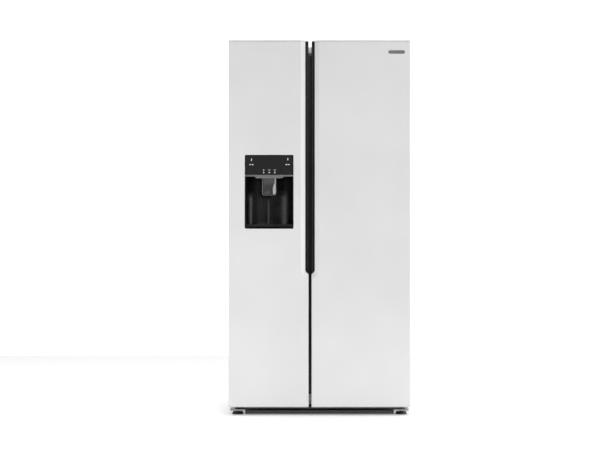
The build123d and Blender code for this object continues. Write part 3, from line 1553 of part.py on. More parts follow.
def drain_pan():
    """Melt-water pan that rests on the compressor's head."""
    low = cabinet_bottom_z + compressor_rise + compressor_height + cover_side_gap / 2
    half_x = drain_pan_length / 2
    half_y = drain_pan_width / 2
    x_ends = (compressor_x - half_x, compressor_x + half_x)
    y_ends = (bay_middle_y - half_y, bay_middle_y + half_y)
    wall = drain_pan_wall
    with BuildPart() as pan:
        block(x_ends, y_ends, (low, low + drain_pan_height))
        fillet(pan.edges().filter_by(Axis.Z), drain_pan_height / 3)
        x_void = (x_ends[0] + wall, x_ends[1] - wall)
        y_void = (y_ends[0] + wall, y_ends[1] - wall)
        with BuildPart(mode=Mode.PRIVATE) as well:
            block(x_void, y_void, (low + wall, low + drain_pan_height + 1))
            fillet(well.edges().filter_by(Axis.Z), drain_pan_height / 3 - wall)
        add(well.part, mode=Mode.SUBTRACT)
    return pan


def water_inlet_valve():
    """Water valve behind the bay cover, with its threaded inlet."""
    half = valve_body / 2
    with BuildPart() as valve:
        y_ends = (rear_panel_y - valve_body, rear_panel_y - cover_side_gap / 2)
        block((valve_x - half, valve_x + half), y_ends, (valve_z - half, valve_z + half))
        lengthwise(valve_x, y_ends[1] - 1, rear_y - 1, valve_z, valve_thread_radius)
        bore = valve_thread_radius / 2
        lengthwise(valve_x, rear_panel_y - half, rear_y, valve_z, bore, Mode.SUBTRACT)
    return valve


def cord_gland():
    """Grommet where the supply cord enters the bay cover."""
    inner_y = rear_panel_y - gland_flange_thickness
    outer_y = rear_panel_y + bay_cover_sheet + gland_flange_thickness
    with BuildPart() as gland:
        lengthwise(gland_x, inner_y, outer_y, gland_z, gland_radius)
        lengthwise(gland_x, rear_panel_y + bay_cover_sheet, outer_y, gland_z, gland_flange_radius)
        lengthwise(gland_x, inner_y, rear_panel_y, gland_z, gland_flange_radius)
        lengthwise(gland_x, inner_y - 1, outer_y + 1, gland_z, gland_radius / 2, Mode.SUBTRACT)
    return gland


# ---------------------------------------------------------------- build and write
for leaf in (freezer, fridge):
    save(door_panel(leaf), f"{leaf.name}_door_panel")
    save(door_caps(leaf), f"{leaf.name}_door_caps")
    save(door_foam(leaf), f"{leaf.name}_door_foam")
    save(door_liner(leaf), f"{leaf.name}_door_liner")
    save(door_gasket(leaf), f"{leaf.name}_door_gasket")
    save(handle_profile(leaf), f"{leaf.name}_handle_profile")
    save(door_bins(leaf), f"{leaf.name}_door_bins")

save(dispenser_housing(), "dispenser_housing")
save(control_panel(), "control_panel")
save(dispenser_trim(), "dispenser_trim")
save(dispenser_paddle(), "dispenser_paddle")
save(ice_chute_flap(), "ice_chute_flap")
save(drip_tray(), "drip_tray")
save(badge(), "badge")

save(cabinet_shell(), "cabinet_shell")
save(cabinet_foam(), "cabinet_foam")
save(mullion_cover(), "mullion_cover")
ledge_rear = evaporator_cover_y - shelf_rear_gap
save(room_liner(freezer, freezer_shelves + [bucket_shelf_z], ledge_rear), "freezer_liner")
ledge_rear = room_rear_y - duct_depth - shelf_rear_gap
save(room_liner(fridge, fridge_shelves, ledge_rear), "fridge_liner")
save(glass_shelves(), "glass_shelves")
save(rear_panel(), "rear_panel")
save(base_pan(), "base_pan")
save(bay_cover(), "compressor_bay_cover")
save(kick_plate(), "kick_plate")
save(hinge_covers(), "hinge_covers")
save(hinge_screws(), "hinge_screws")

for leaf, word in ((freezer, "left"), (fridge, "right")):
    save(lower_hinge(leaf), f"lower_hinge_{word}")
    save(upper_hinge(leaf), f"upper_hinge_{word}")
    save(levelling_foot(leaf), f"levelling_foot_{word}")
    save(rear_roller(leaf.side), f"rear_roller_{word}")

for leaf, word in ((freezer, "freezer"), (fridge, "crisper")):
    rear_low = step_front_y - drawer_rear_gap
    back = evaporator_cover_y if leaf is freezer else room_rear_y - duct_depth
    lower = drawer(leaf, drawer_lower_z, drawer_lower_height, rear_low)
    save(lower, f"{word}_drawer_lower")
    upper = drawer(leaf, drawer_upper_z, drawer_upper_height, back - drawer_rear_gap)
    save(upper, f"{word}_drawer_upper")

save(ice_bucket(), "ice_bucket")
save(ice_auger(), "ice_auger")
save(ice_maker(), "ice_maker")
save(water_filter(), "water_filter")
save(evaporator_cover(), "evaporator_cover")
save(evaporator_fan(), "evaporator_fan")
save(evaporator(), "evaporator")
save(fridge_air_duct(), "fridge_air_duct")
save(compressor(), "compressor")
save(condenser_coil(), "condenser_coil")
save(condenser_fan(), "condenser_fan")
save(condenser_fan_motor(), "condenser_fan_motor")
save(drain_pan(), "drain_pan")
save(water_inlet_valve(), "water_inlet_valve")
save(cord_gland(), "cord_gland")
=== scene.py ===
import json
import logging
import math
from dataclasses import dataclass, field
from enum import Enum
from typing import Iterable, Optional, Sequence

import bmesh
import bpy
from mathutils import Matrix, Vector


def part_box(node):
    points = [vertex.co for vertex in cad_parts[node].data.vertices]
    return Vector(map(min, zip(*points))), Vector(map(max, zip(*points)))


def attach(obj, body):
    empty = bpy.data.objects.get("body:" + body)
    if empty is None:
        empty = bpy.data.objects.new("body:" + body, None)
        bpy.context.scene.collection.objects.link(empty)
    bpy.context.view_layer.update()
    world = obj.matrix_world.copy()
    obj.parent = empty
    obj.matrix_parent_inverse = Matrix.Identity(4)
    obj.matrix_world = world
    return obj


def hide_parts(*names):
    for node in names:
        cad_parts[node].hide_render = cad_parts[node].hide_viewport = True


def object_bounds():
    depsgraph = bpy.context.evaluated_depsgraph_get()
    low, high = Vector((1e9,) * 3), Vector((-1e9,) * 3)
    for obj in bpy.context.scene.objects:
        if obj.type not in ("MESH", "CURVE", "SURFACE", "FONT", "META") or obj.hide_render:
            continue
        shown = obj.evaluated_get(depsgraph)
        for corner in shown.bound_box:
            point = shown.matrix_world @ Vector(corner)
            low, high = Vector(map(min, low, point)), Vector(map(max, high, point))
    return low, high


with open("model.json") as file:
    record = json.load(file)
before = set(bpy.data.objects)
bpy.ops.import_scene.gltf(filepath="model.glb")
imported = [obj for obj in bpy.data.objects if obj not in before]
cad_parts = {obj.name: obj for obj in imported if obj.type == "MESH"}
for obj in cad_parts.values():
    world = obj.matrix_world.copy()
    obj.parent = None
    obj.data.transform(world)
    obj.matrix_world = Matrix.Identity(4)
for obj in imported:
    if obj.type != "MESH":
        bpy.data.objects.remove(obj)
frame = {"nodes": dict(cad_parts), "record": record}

# A side by side refrigerator. Metres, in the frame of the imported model: +X to
# the right of someone facing the doors, +Y to the back, +Z up.

LOG = logging.getLogger("refrigerator")
MM = 0.001
CAD_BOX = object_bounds()
BODY_OF = {
    node: body for body, nodes in frame["record"]["behaviour"]["bodies"].items() for node in nodes
}

DRAWERS = (
    "crisper_drawer_lower", "crisper_drawer_upper", "freezer_drawer_lower", "freezer_drawer_upper",
)

Point = tuple[float, float]
Tree = bpy.types.NodeTree
Node = bpy.types.Node
Socket = bpy.types.NodeSocket


# ---------------------------------------------------------------- small helpers
def linear(hex_colour: str) -> tuple[float, float, float, float]:
    """Turn an sRGB hex value to linear colour.

    Args:
        hex_colour: Six hex digits, such as "f0f0ee".

    Returns:
        Red, green, blue and an alpha of 1.
    """
    out = []
    for start in (0, 2, 4):
        value = int(hex_colour[start:start + 2], 16) / 255
        out.append(value / 12.92 if value <= 0.04045 else ((value + 0.055) / 1.055) ** 2.4)
    return (out[0], out[1], out[2], 1.0)


def add_node(
    tree: Tree,
    kind: str,
    settings: Optional[dict] = None,
    inputs: Optional[dict] = None,
) -> Node:
    """Add a node with its settings and links.

    Args:
        tree: The tree that gets the node.
        kind: The node's type name.
        settings: Attribute names and values.
        inputs: Input names or numbers, each with a value or an output socket.

    Returns:
        The new node.
    """
    node = tree.nodes.new(kind)
    for name, value in (settings or {}).items():
        setattr(node, name, value)
    for name, value in (inputs or {}).items():
        if isinstance(value, bpy.types.NodeSocket):
            tree.links.new(value, node.inputs[name])
        else:
            node.inputs[name].default_value = value
    return node


# ---------------------------------------------------------------- finishes
@dataclass(frozen=True)
class Finish:
    """A surface finish: an sRGB hex colour, its gloss and, in a subclass, its pattern."""

    name: str
    colour: str
    roughness: float = 0.4
    metallic: float = 0.0
    ior: float = 1.5

    def build(self) -> bpy.types.Material:
        """Make the material once and hand back the same one afterwards.

        Returns:
            The material.
        """
        made = bpy.data.materials.get(self.name)
        if made is not None:
            return made
        material = bpy.data.materials.new(self.name)
        material.use_nodes = True
        tree = material.node_tree
        shader = tree.nodes["Principled BSDF"]
        shader.inputs["Base Color"].default_value = linear(self.colour)
        shader.inputs["Roughness"].default_value = self.roughness
        shader.inputs["Metallic"].default_value = self.metallic
        if self.metallic < 0.5:
            shader.inputs["IOR"].default_value = self.ior
        material.diffuse_color = linear(self.colour)
        place = add_node(tree, "ShaderNodeTexCoord")
        self.pattern(tree, shader, place.outputs["Object"])
        return material

    def pattern(self, tree: Tree, shader: Node, place: Socket) -> None:
        """Add the finish's own detail; the plain finish has none.

        Args:
            tree: The material's tree.
            shader: Its Principled shader.
            place: Object coordinates, in metres.
        """

    def noise(
        self, tree: Tree, place: Socket, size_mm: float, detail: float = 3.0,
        stretch: tuple[float, float, float] = (1, 1, 1),
    ) -> Socket:
        """Noise whose grains are about size_mm across.

        Args:
            tree: The material's tree.
            place: Coordinates in metres.
            size_mm: Real size of one grain.
            detail: Noise detail.
            stretch: Scale of the coordinates along X, Y and Z.

        Returns:
            The noise factor.
        """
        mapping = add_node(tree, "ShaderNodeMapping", inputs={"Vector": place, "Scale": stretch})
        node = add_node(
            tree, "ShaderNodeTexNoise",
            inputs={"Vector": mapping.outputs["Vector"], "Scale": 1 / (size_mm * MM), "Detail": detail},
        )
        return node.outputs["Fac"]

    def spread(
        self, tree: Tree, factor: Socket, low: float, high: float
    ) -> Socket:
        """Map noise, which stays between 0.3 and 0.7, on low to high.

        Args:
            tree: The material's tree.
            factor: The noise.
            low: Result at 0.3.
            high: Result at 0.7.

        Returns:
            The mapped value.
        """
        node = add_node(
            tree, "ShaderNodeMapRange",
            inputs={"Value": factor, "From Min": 0.3, "From Max": 0.7, "To Min": low, "To Max": high},
        )
        return node.outputs["Result"]

    def tint(
        self, tree: Tree, factor: Socket, low: str, high: str
    ) -> Socket:
        """Blend two hex colours by a factor.

        Args:
            tree: The material's tree.
            factor: The noise or pattern.
            low: Colour where the factor is small.
            high: Colour where it is large.

        Returns:
            The colour.
        """
        node = add_node(tree, "ShaderNodeValToRGB", inputs={"Fac": factor})
        ramp = node.color_ramp
        ramp.elements[0].position = 0.35
        ramp.elements[0].color = linear(low)
        ramp.elements[1].position = 0.65
        ramp.elements[1].color = linear(high)
        return node.outputs["Color"]

    def bump(
        self, tree: Tree, height: Socket, depth_mm: float, strength: float = 1.0
    ) -> Socket:
        """A bump from a height factor.

        Args:
            tree: The material's tree.
            height: The pattern that stands for height.
            depth_mm: Real depth of the pattern.
            strength: Share of that depth that is used.

        Returns:
            The normal.
        """
        node = add_node(
            tree, "ShaderNodeBump",
            inputs={"Height": height, "Distance": depth_mm * MM, "Strength": strength},
        )
        return node.outputs["Normal"]


@dataclass(frozen=True)
class CoatedSteel(Finish):
    """Precoated steel sheet, roller painted white: glossy, with faint orange peel."""

    shade: str = "efefef"
    peel_mm: float = 2.4

    def pattern(self, tree: Tree, shader: Node, place: Socket) -> None:
        """Faint tone drift over decimetres, orange peel over millimetres.

        Args:
            tree: The material's tree.
            shader: Its Principled shader.
            place: Object coordinates, in metres.
        """
        drift = self.noise(tree, place, 420.0, 2.0)
        tree.links.new(self.tint(tree, drift, self.shade, self.colour), shader.inputs["Base Color"])
        peel = self.noise(tree, place, self.peel_mm, 2.0)
        patches = self.noise(tree, place, 60.0)
        rough = self.spread(tree, patches, self.roughness - 0.02, self.roughness + 0.03)
        tree.links.new(rough, shader.inputs["Roughness"])
        tree.links.new(self.bump(tree, peel, 0.004, 0.1), shader.inputs["Normal"])
        shader.inputs["Coat Weight"].default_value = 0.2
        shader.inputs["Coat Roughness"].default_value = 0.3


@dataclass(frozen=True)
class MouldedPlastic(Finish):
    """Injection moulded ABS: a fine spark-eroded grain and slight tone drift."""

    shade: str = "101010"
    grain_mm: float = 0.9
    grain_depth_mm: float = 0.03

    def pattern(self, tree: Tree, shader: Node, place: Socket) -> None:
        """Grain for the bump, rubbed patches in the roughness.

        Args:
            tree: The material's tree.
            shader: Its Principled shader.
            place: Object coordinates, in metres.
        """
        drift = self.noise(tree, place, 35.0, 4.0)
        tree.links.new(self.tint(tree, drift, self.shade, self.colour), shader.inputs["Base Color"])
        rough = self.spread(tree, drift, self.roughness - 0.05, self.roughness + 0.06)
        tree.links.new(rough, shader.inputs["Roughness"])
        grain = self.noise(tree, place, self.grain_mm, 2.0)
        normal = self.bump(tree, grain, self.grain_depth_mm, 0.6)
        tree.links.new(normal, shader.inputs["Normal"])


@dataclass(frozen=True)
class GlossAcrylic(Finish):
    """Back-printed acrylic panel: deep and glossy with hair-fine wipe marks."""

    def pattern(self, tree: Tree, shader: Node, place: Socket) -> None:
        """Wipe marks drawn coarser than they are, so that they show.

        Args:
            tree: The material's tree.
            shader: Its Principled shader.
            place: Object coordinates, in metres.
        """
        wipe = self.noise(tree, place, 2.0, 3.0, (0.12, 1, 1))
        rough = self.spread(tree, wipe, self.roughness, self.roughness + 0.08)
        tree.links.new(rough, shader.inputs["Roughness"])
        shader.inputs["Coat Weight"].default_value = 0.6
        shader.inputs["Coat Roughness"].default_value = 0.05


@dataclass(frozen=True)
class ClearPlastic(Finish):
    """Clear moulded polystyrene or acrylic: see-through, with flow ripple."""

    transmission: float = 0.9
    ripple_mm: float = 14.0

    def pattern(self, tree: Tree, shader: Node, place: Socket) -> None:
        """Low ripple from the mould's flow and a little haze.

        Args:
            tree: The material's tree.
            shader: Its Principled shader.
            place: Object coordinates, in metres.
        """
        shader.inputs["Transmission Weight"].default_value = self.transmission
        ripple = self.noise(tree, place, self.ripple_mm, 2.0)
        tree.links.new(self.bump(tree, ripple, 0.12, 0.4), shader.inputs["Normal"])
        haze = self.spread(tree, ripple, self.roughness, self.roughness + 0.05)
        tree.links.new(haze, shader.inputs["Roughness"])


@dataclass(frozen=True)
class BrushedMetal(Finish):
    """Metal drawn through a belt grinder: fine lines along one axis."""

    shade: str = "9a9b9c"
    line_mm: float = 0.5
    stretch: tuple[float, float, float] = (0.02, 1, 1)

    def pattern(self, tree: Tree, shader: Node, place: Socket) -> None:
        """Lines in tone, roughness and bump, drawn coarse enough to show.

        Args:
            tree: The material's tree.
            shader: Its Principled shader.
            place: Object coordinates, in metres.
        """
        lines = self.noise(tree, place, self.line_mm, 4.0, self.stretch)
        tree.links.new(self.tint(tree, lines, self.shade, self.colour), shader.inputs["Base Color"])
        rough = self.spread(tree, lines, self.roughness - 0.08, self.roughness + 0.08)
        tree.links.new(rough, shader.inputs["Roughness"])
        tree.links.new(self.bump(tree, lines, 0.01, 0.4), shader.inputs["Normal"])


@dataclass(frozen=True)
class ZincPlate(Finish):
    """Hot-dip galvanised sheet: the angular spangle of zinc crystals."""

    shade: str = "8e9194"
    crystal_mm: float = 9.0

    def pattern(self, tree: Tree, shader: Node, place: Socket) -> None:
        """One tone and one roughness for each crystal.

        Args:
            tree: The material's tree.
            shader: Its Principled shader.
            place: Object coordinates, in metres.
        """
        cells = add_node(
            tree, "ShaderNodeTexVoronoi", inputs={"Vector": place, "Scale": 1 / (self.crystal_mm * MM)}
        )
        shade = add_node(tree, "ShaderNodeRGBToBW", inputs={"Color": cells.outputs["Color"]})
        grey = shade.outputs["Val"]
        tree.links.new(self.tint(tree, grey, self.shade, self.colour), shader.inputs["Base Color"])
        rough = self.spread(tree, grey, self.roughness - 0.08, self.roughness + 0.12)
        tree.links.new(rough, shader.inputs["Roughness"])


@dataclass(frozen=True)
class CellFoam(Finish):
    """Poured polyurethane foam: a matte skin over fine cells."""

    shade: str = "c9b98a"
    cell_mm: float = 3.0

    def pattern(self, tree: Tree, shader: Node, place: Socket) -> None:
        """Cells in tone and bump.

        Args:
            tree: The material's tree.
            shader: Its Principled shader.
            place: Object coordinates, in metres.
        """
        cells = add_node(
            tree, "ShaderNodeTexVoronoi", inputs={"Vector": place, "Scale": 1 / (self.cell_mm * MM)}
        ).outputs["Distance"]
        tree.links.new(self.tint(tree, cells, self.shade, self.colour), shader.inputs["Base Color"])
        tree.links.new(self.bump(tree, cells, 0.5, 0.6), shader.inputs["Normal"])


@dataclass(frozen=True)
class SoftVinyl(Finish):
    """Extruded PVC seal: satin, with slight waves along its length."""

    shade: str = "b9b9b8"

    def pattern(self, tree: Tree, shader: Node, place: Socket) -> None:
        """Waves from the way the strip was drawn and cooled.

        Args:
            tree: The material's tree.
            shader: Its Principled shader.
            place: Object coordinates, in metres.
        """
        wave = self.noise(tree, place, 9.0, 3.0)
        tree.links.new(self.tint(tree, wave, self.shade, self.colour), shader.inputs["Base Color"])
        tree.links.new(self.bump(tree, wave, 0.15, 0.5), shader.inputs["Normal"])
        shader.inputs["Sheen Weight"].default_value = 0.15


@dataclass(frozen=True)
class LitPrint(Finish):
    """White screen print on the touch panel, faintly lit from behind."""

    glow: float = 0.25

    def pattern(self, tree: Tree, shader: Node, place: Socket) -> None:
        """Uneven ink over the lamp behind it.

        Args:
            tree: The material's tree.
            shader: Its Principled shader.
            place: Object coordinates, in metres.
        """
        ink = self.noise(tree, place, 0.6, 2.0)
        tree.links.new(self.tint(tree, ink, self.colour, "ffffff"), shader.inputs["Base Color"])
        shader.inputs["Emission Color"].default_value = linear(self.colour)
        shader.inputs["Emission Strength"].default_value = self.glow


# White parts: painted sheet for the doors and wrapper gives a soft gloss with a
# slow tone drift; moulded caps and vacuum formed liners are duller and warmer.
WHITE_STEEL = CoatedSteel("white_precoated_steel", "f4f4f4", 0.38)
WHITE_ABS = MouldedPlastic("white_moulded_abs", "e9e9e8", 0.35, shade="e2e2e1", grain_mm=1.4)
LINER_HIPS = MouldedPlastic("vacuum_formed_liner", "f3f3f1", 0.38, shade="ebebe9", grain_mm=3.0)
# Dark parts, from the well's near black to the kick plate's dark grey. The grip's
# bead is a lighter grey, a painted highlight that shows as a thin lit line in the dark strip.
BLACK_ABS = MouldedPlastic("black_moulded_abs", "151516", 0.34, shade="0e0e0f")
WELL_ABS = MouldedPlastic("black_gloss_abs", "08080a", 0.3, shade="060607", grain_depth_mm=0.004)
GRIP_ABS = MouldedPlastic("grip_black_abs", "202021", 0.38, shade="1a1a1b")
BEAD_HIGHLIGHT_ABS = MouldedPlastic("grip_bead_painted_highlight_abs", "58585a", 0.34, shade="505052")
GRAPHITE_ABS = MouldedPlastic("graphite_moulded_abs", "2b2b2d", 0.42, shade="232325")
KICK_ABS = MouldedPlastic("dark_grey_kick_abs", "3b3b3d", 0.42, shade="323234")
GREY_ABS = MouldedPlastic("grey_moulded_abs", "83868a", 0.45, shade="777a7e")
NYLON = MouldedPlastic("black_glass_nylon", "29292b", 0.5, shade="1f1f21", grain_mm=1.6)
# Clear and glossy parts: the touch panel mirrors the room, the paddle is smoked, its rim bead lighter
# and its ridge pale, both painted highlight, bins clear with mould ripple, drawers frosted, shelves of
# glass.
PANEL_ACRYLIC = GlossAcrylic("black_panel_acrylic", "262627", 0.08)
PANEL_RIM = GlossAcrylic("black_panel_rim", "050505", 0.1)
SMOKE_ACRYLIC = ClearPlastic("smoke_paddle_acrylic", "48484a", 0.2, transmission=0.15)
SMOKE_RIM_HIGHLIGHT = ClearPlastic("smoke_paddle_rim_painted_highlight", "707173", 0.16, transmission=0.15)
WAVE_HIGHLIGHT_ACRYLIC = ClearPlastic("clear_paddle_wave_painted_highlight", "d4d6d8", 0.12, transmission=0.2)
CLEAR_STYRENE = ClearPlastic("clear_bin_styrene", "eef4f6", 0.06)
FROSTED_STYRENE = ClearPlastic("frosted_drawer_styrene", "e6eef2", 0.28, transmission=0.8)
SHELF_GLASS = ClearPlastic(
    "tempered_shelf_glass", "dcefe8", 0.02, ior=1.52, transmission=0.97, ripple_mm=60.0
)
# Metals: satin trim with lines along its length, zinc sheet with its spangle,
# plated brackets and screws, bare fins and black stoved enamel.
SATIN_ALUMINIUM = BrushedMetal("satin_anodised_aluminium", "a9aaab", 0.42, 1.0, shade="8c8d8e")
BADGE_PLATE = MouldedPlastic(
    "silver_lacquered_badge", "7d7f81", 0.35, shade="707274", grain_depth_mm=0.01
)
ZINC_STEEL = ZincPlate("galvanised_sheet", "b4b7ba", 0.42, 1.0, shade="a6a9ac")
PLATED_STEEL = BrushedMetal(
    "plated_hinge_steel", "b9babb", 0.36, 1.0, shade="8b8c8e", stretch=(1, 0.05, 1)
)
SCREW_STEEL = BrushedMetal("plated_screw_steel", "a5a7a9", 0.3, 1.0, line_mm=0.3, stretch=(1, 1, 1))
FIN_ALUMINIUM = BrushedMetal("bare_fin_aluminium", "cfd1d3", 0.4, 1.0, stretch=(1, 1, 0.05))
BLACK_ENAMEL = MouldedPlastic("black_stoved_enamel", "161617", 0.3, shade="101011", grain_mm=2.0)
# Soft parts and prints: cells in the foam, waves in the seal, rubber, and prints
# and lamp lenses that glow a little.
FOAM = CellFoam("poured_polyurethane", "dccd9d", 0.85)
SEAL_VINYL = SoftVinyl("grey_seal_vinyl", "c6c6c5", 0.55)
RUBBER = MouldedPlastic("black_nitrile_rubber", "1c1c1d", 0.7, shade="161617", grain_mm=2.2)
PRINT = LitPrint("white_panel_print", "a6abaf", 0.5, glow=0.06)
DIM_PRINT = LitPrint("grey_panel_print", "6d7073", 0.6, glow=0.03)
LAMP = LitPrint("diffused_led_lens", "fbfdff", 0.5, glow=2.0)


# ---------------------------------------------------------------- mesh work
class Plane3(Enum):
    """The plane that an outline lies in; the other axis is the one it is swept along."""

    XZ = (0, 2, 1)
    YZ = (1, 2, 0)
    XY = (0, 1, 2)


def rounded_rectangle(
    centre: Point, size: Point, radius: float, steps: int = 6
) -> list[Point]:
    """Outline of a rectangle with round corners, anticlockwise.

    Args:
        centre: Middle of the rectangle.
        size: Width and height.
        radius: Corner radius.
        steps: Segments in each corner.

    Returns:
        The outline's points.
    """
    half_w, half_h = size[0] / 2, size[1] / 2
    radius = min(radius, half_w, half_h)
    points = []
    for quarter, (sx, sy) in enumerate(((1, 1), (-1, 1), (-1, -1), (1, -1))):
        for step in range(steps + 1):
            angle = math.pi / 2 * (quarter + step / steps)
            points.append((
                centre[0] + sx * (half_w - radius) + radius * math.cos(angle),
                centre[1] + sy * (half_h - radius) + radius * math.sin(angle),
            ))
    return points


def circle_outline(centre: Point, radius: float, steps: int = 40) -> list[Point]:
    """Outline of a circle, anticlockwise.

    Args:
        centre: Its middle.
        radius: Its radius.
        steps: Number of points.

    Returns:
        The outline's points.
    """
    return [
        (
            centre[0] + radius * math.cos(2 * math.pi * i / steps),
            centre[1] + radius * math.sin(2 * math.pi * i / steps),
        )
        for i in range(steps)
    ]


class Blank:
    """A mesh being cut and joined, before it becomes a piece."""

    def __init__(self) -> None:
        """Start empty."""
        self.bm = bmesh.new()

    def box(self, low: Sequence[float], high: Sequence[float]) -> "Blank":
        """Add a box between two corners.

        Args:
            low: Lowest corner.
            high: Highest corner.

        Returns:
            The blank.
        """
        size = Vector(high) - Vector(low)
        middle = (Vector(high) + Vector(low)) / 2
        matrix = Matrix.Translation(middle) @ Matrix.Diagonal((*size, 1))
        bmesh.ops.create_cube(self.bm, size=1, matrix=matrix)
        return self

    def sweep(self, outline: Sequence[Point], plane: Plane3, start: float, end: float) -> "Blank":
        """Add a prism of an outline from start to end.

        Args:
            outline: Points in the plane.
            plane: The outline's plane.
            start: First place along the third axis.
            end: Last place along it.

        Returns:
            The blank.
        """
        return self.skin([(outline, start), (outline, end)], plane)

    def skin(self, sections: Sequence[tuple[Sequence[Point], float]], plane: Plane3) -> "Blank":
        """Add a closed solid through outlines of equal length, in order.

        Args:
            sections: Outlines, each with its place along the third axis.
            plane: The outlines' plane.

        Returns:
            The blank.
        """
        u, v, w = plane.value
        rings = []
        for outline, place in sections:
            ring = []
            for a, b in outline:
                co = [0.0, 0.0, 0.0]
                co[u], co[v], co[w] = a, b, place
                ring.append(self.bm.verts.new(co))
            rings.append(ring)
        faces = [self.bm.faces.new(rings[0]), self.bm.faces.new(rings[-1])]
        count = len(rings[0])
        for low, high in zip(rings, rings[1:]):
            for i in range(count):
                j = (i + 1) % count
                faces.append(self.bm.faces.new((low[i], low[j], high[j], high[i])))
        bmesh.ops.recalc_face_normals(self.bm, faces=faces)
        return self

    def tube(self, points: Sequence[Sequence[float]], radius: float, sides: int = 12) -> "Blank":
        """Add a round bar along straight runs, with its ends closed.

        Args:
            points: The middle line's corners.
            radius: The bar's radius.
            sides: Flats round the bar.

        Returns:
            The blank.
        """
        path = [Vector(p) for p in points]
        rings = []
        for i, here in enumerate(path):
            before = path[max(i - 1, 0)]
            after = path[min(i + 1, len(path) - 1)]
            along = (after - before).normalized()
            side = along.cross(Vector((0, 0, 1)))
            if side.length < 0.1:
                side = along.cross(Vector((0, 1, 0)))
            side.normalize()
            up = side.cross(along).normalized()
            ring = []
            for k in range(sides):
                angle = 2 * math.pi * k / sides
                offset = side * math.cos(angle) * radius + up * math.sin(angle) * radius
                ring.append(self.bm.verts.new(here + offset))
            rings.append(ring)
        faces = [self.bm.faces.new(rings[0]), self.bm.faces.new(rings[-1])]
        for low, high in zip(rings, rings[1:]):
            for k in range(sides):
                m = (k + 1) % sides
                faces.append(self.bm.faces.new((low[k], low[m], high[m], high[k])))
        bmesh.ops.recalc_face_normals(self.bm, faces=faces)
        return self

    def node_copy(self, node: str) -> "Blank":
        """Add a merged copy of a CAD node's mesh, with flat triangles joined.

        Args:
            node: The CAD node.

        Returns:
            The blank.
        """
        self.bm.from_mesh(frame["nodes"][node].data)
        bmesh.ops.remove_doubles(self.bm, verts=self.bm.verts, dist=2e-6)
        bmesh.ops.dissolve_limit(
            self.bm, angle_limit=math.radians(0.5), verts=self.bm.verts, edges=self.bm.edges
        )
        return self

    def keep_above(self, z: float) -> "Blank":
        """Cut the blank at a height, keep the upper side and close the cut.

        Args:
            z: The height.

        Returns:
            The blank.
        """
        whole = self.bm.verts[:] + self.bm.edges[:] + self.bm.faces[:]
        bmesh.ops.bisect_plane(
            self.bm, geom=whole, plane_co=(0, 0, z), plane_no=(0, 0, 1), clear_inner=True, dist=1e-6
        )
        rim = [edge for edge in self.bm.edges if edge.is_boundary]
        bmesh.ops.holes_fill(self.bm, edges=rim, sides=0)
        bmesh.ops.recalc_face_normals(self.bm, faces=self.bm.faces)
        return self

    def to_object(self, name: str) -> bpy.types.Object:
        """Turn the blank into an object in the scene.

        Args:
            name: The object's name.

        Returns:
            The object.
        """
        mesh = bpy.data.meshes.new(name)
        self.bm.to_mesh(mesh)
        self.bm.free()
        mesh.materials.clear()
        item = bpy.data.objects.new(name, mesh)
        bpy.context.scene.collection.objects.link(item)
        return item


def apply_modifiers(item: bpy.types.Object) -> None:
    """Bake an object's modifiers into its own mesh.

    Args:
        item: The object.
    """
    depsgraph = bpy.context.evaluated_depsgraph_get()
    evaluated = item.evaluated_get(depsgraph)
    mesh = bpy.data.meshes.new_from_object(evaluated, preserve_all_data_layers=True, depsgraph=depsgraph)
    item.modifiers.clear()
    item.data = mesh


def round_edges(
    item: bpy.types.Object, width_mm: float, segments: int, clamp: bool, angle: float
) -> None:
    """Bevel the sharp edges and shade the piece smooth between them.

    Args:
        item: The object.
        width_mm: Bevel width; 0 leaves the edges as they are.
        segments: Facets across a bevel.
        clamp: Keep bevels from overlapping.
        angle: Edges sharper than this many degrees are bevelled.
    """
    for polygon in item.data.polygons:
        polygon.use_smooth = True
    if width_mm > 0:
        bevel = item.modifiers.new("edge", "BEVEL")
        bevel.width = width_mm * MM
        bevel.segments = segments
        bevel.limit_method = "ANGLE"
        bevel.angle_limit = math.radians(angle)
        bevel.use_clamp_overlap = clamp
        level = item.modifiers.new("faces", "WEIGHTED_NORMAL")
        level.mode = "FACE_AREA"
        level.weight = 100
        level.keep_sharp = True
        apply_modifiers(item)
    else:
        item.data.set_sharp_from_angle(angle=math.radians(angle))


def place_piece(
    item: bpy.types.Object,
    finish: Finish,
    body: str,
    stands_for: Iterable[str] = (),
) -> bpy.types.Object:
    """Dress a finished object and hand it to its body.

    Args:
        item: The object, in place.
        finish: Its finish.
        body: The CAD body it rides on.
        stands_for: CAD nodes that it replaces.

    Returns:
        The object.
    """
    if not item.data.materials:
        item.data.materials.append(finish.build())
    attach(item, body)
    nodes = list(stands_for)
    if nodes:
        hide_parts(*nodes)
    LOG.info("%s on %s, %d faces", item.name, body, len(item.data.polygons))
    return item


def make_piece(
    blank: Blank,
    name: str,
    finish: Finish,
    body: str,
    edge_mm: float = 0.6,
    segments: int = 2,
    clamp: bool = True,
    stands_for: Iterable[str] = (),
    angle: float = 32,
) -> bpy.types.Object:
    """Turn a blank into a rounded, dressed piece.

    Args:
        blank: The finished blank.
        name: The piece's name.
        finish: Its finish.
        body: The CAD body it rides on.
        edge_mm: Bevel width; 0 leaves the edges as they are.
        segments: Facets across a bevel.
        clamp: Keep bevels from overlapping.
        stands_for: CAD nodes that it replaces.
        angle: Edges sharper than this many degrees are bevelled.

    Returns:
        The piece.
    """
    item = blank.to_object(name)
    round_edges(item, edge_mm, segments, clamp, angle)
    return place_piece(item, finish, body, stands_for)


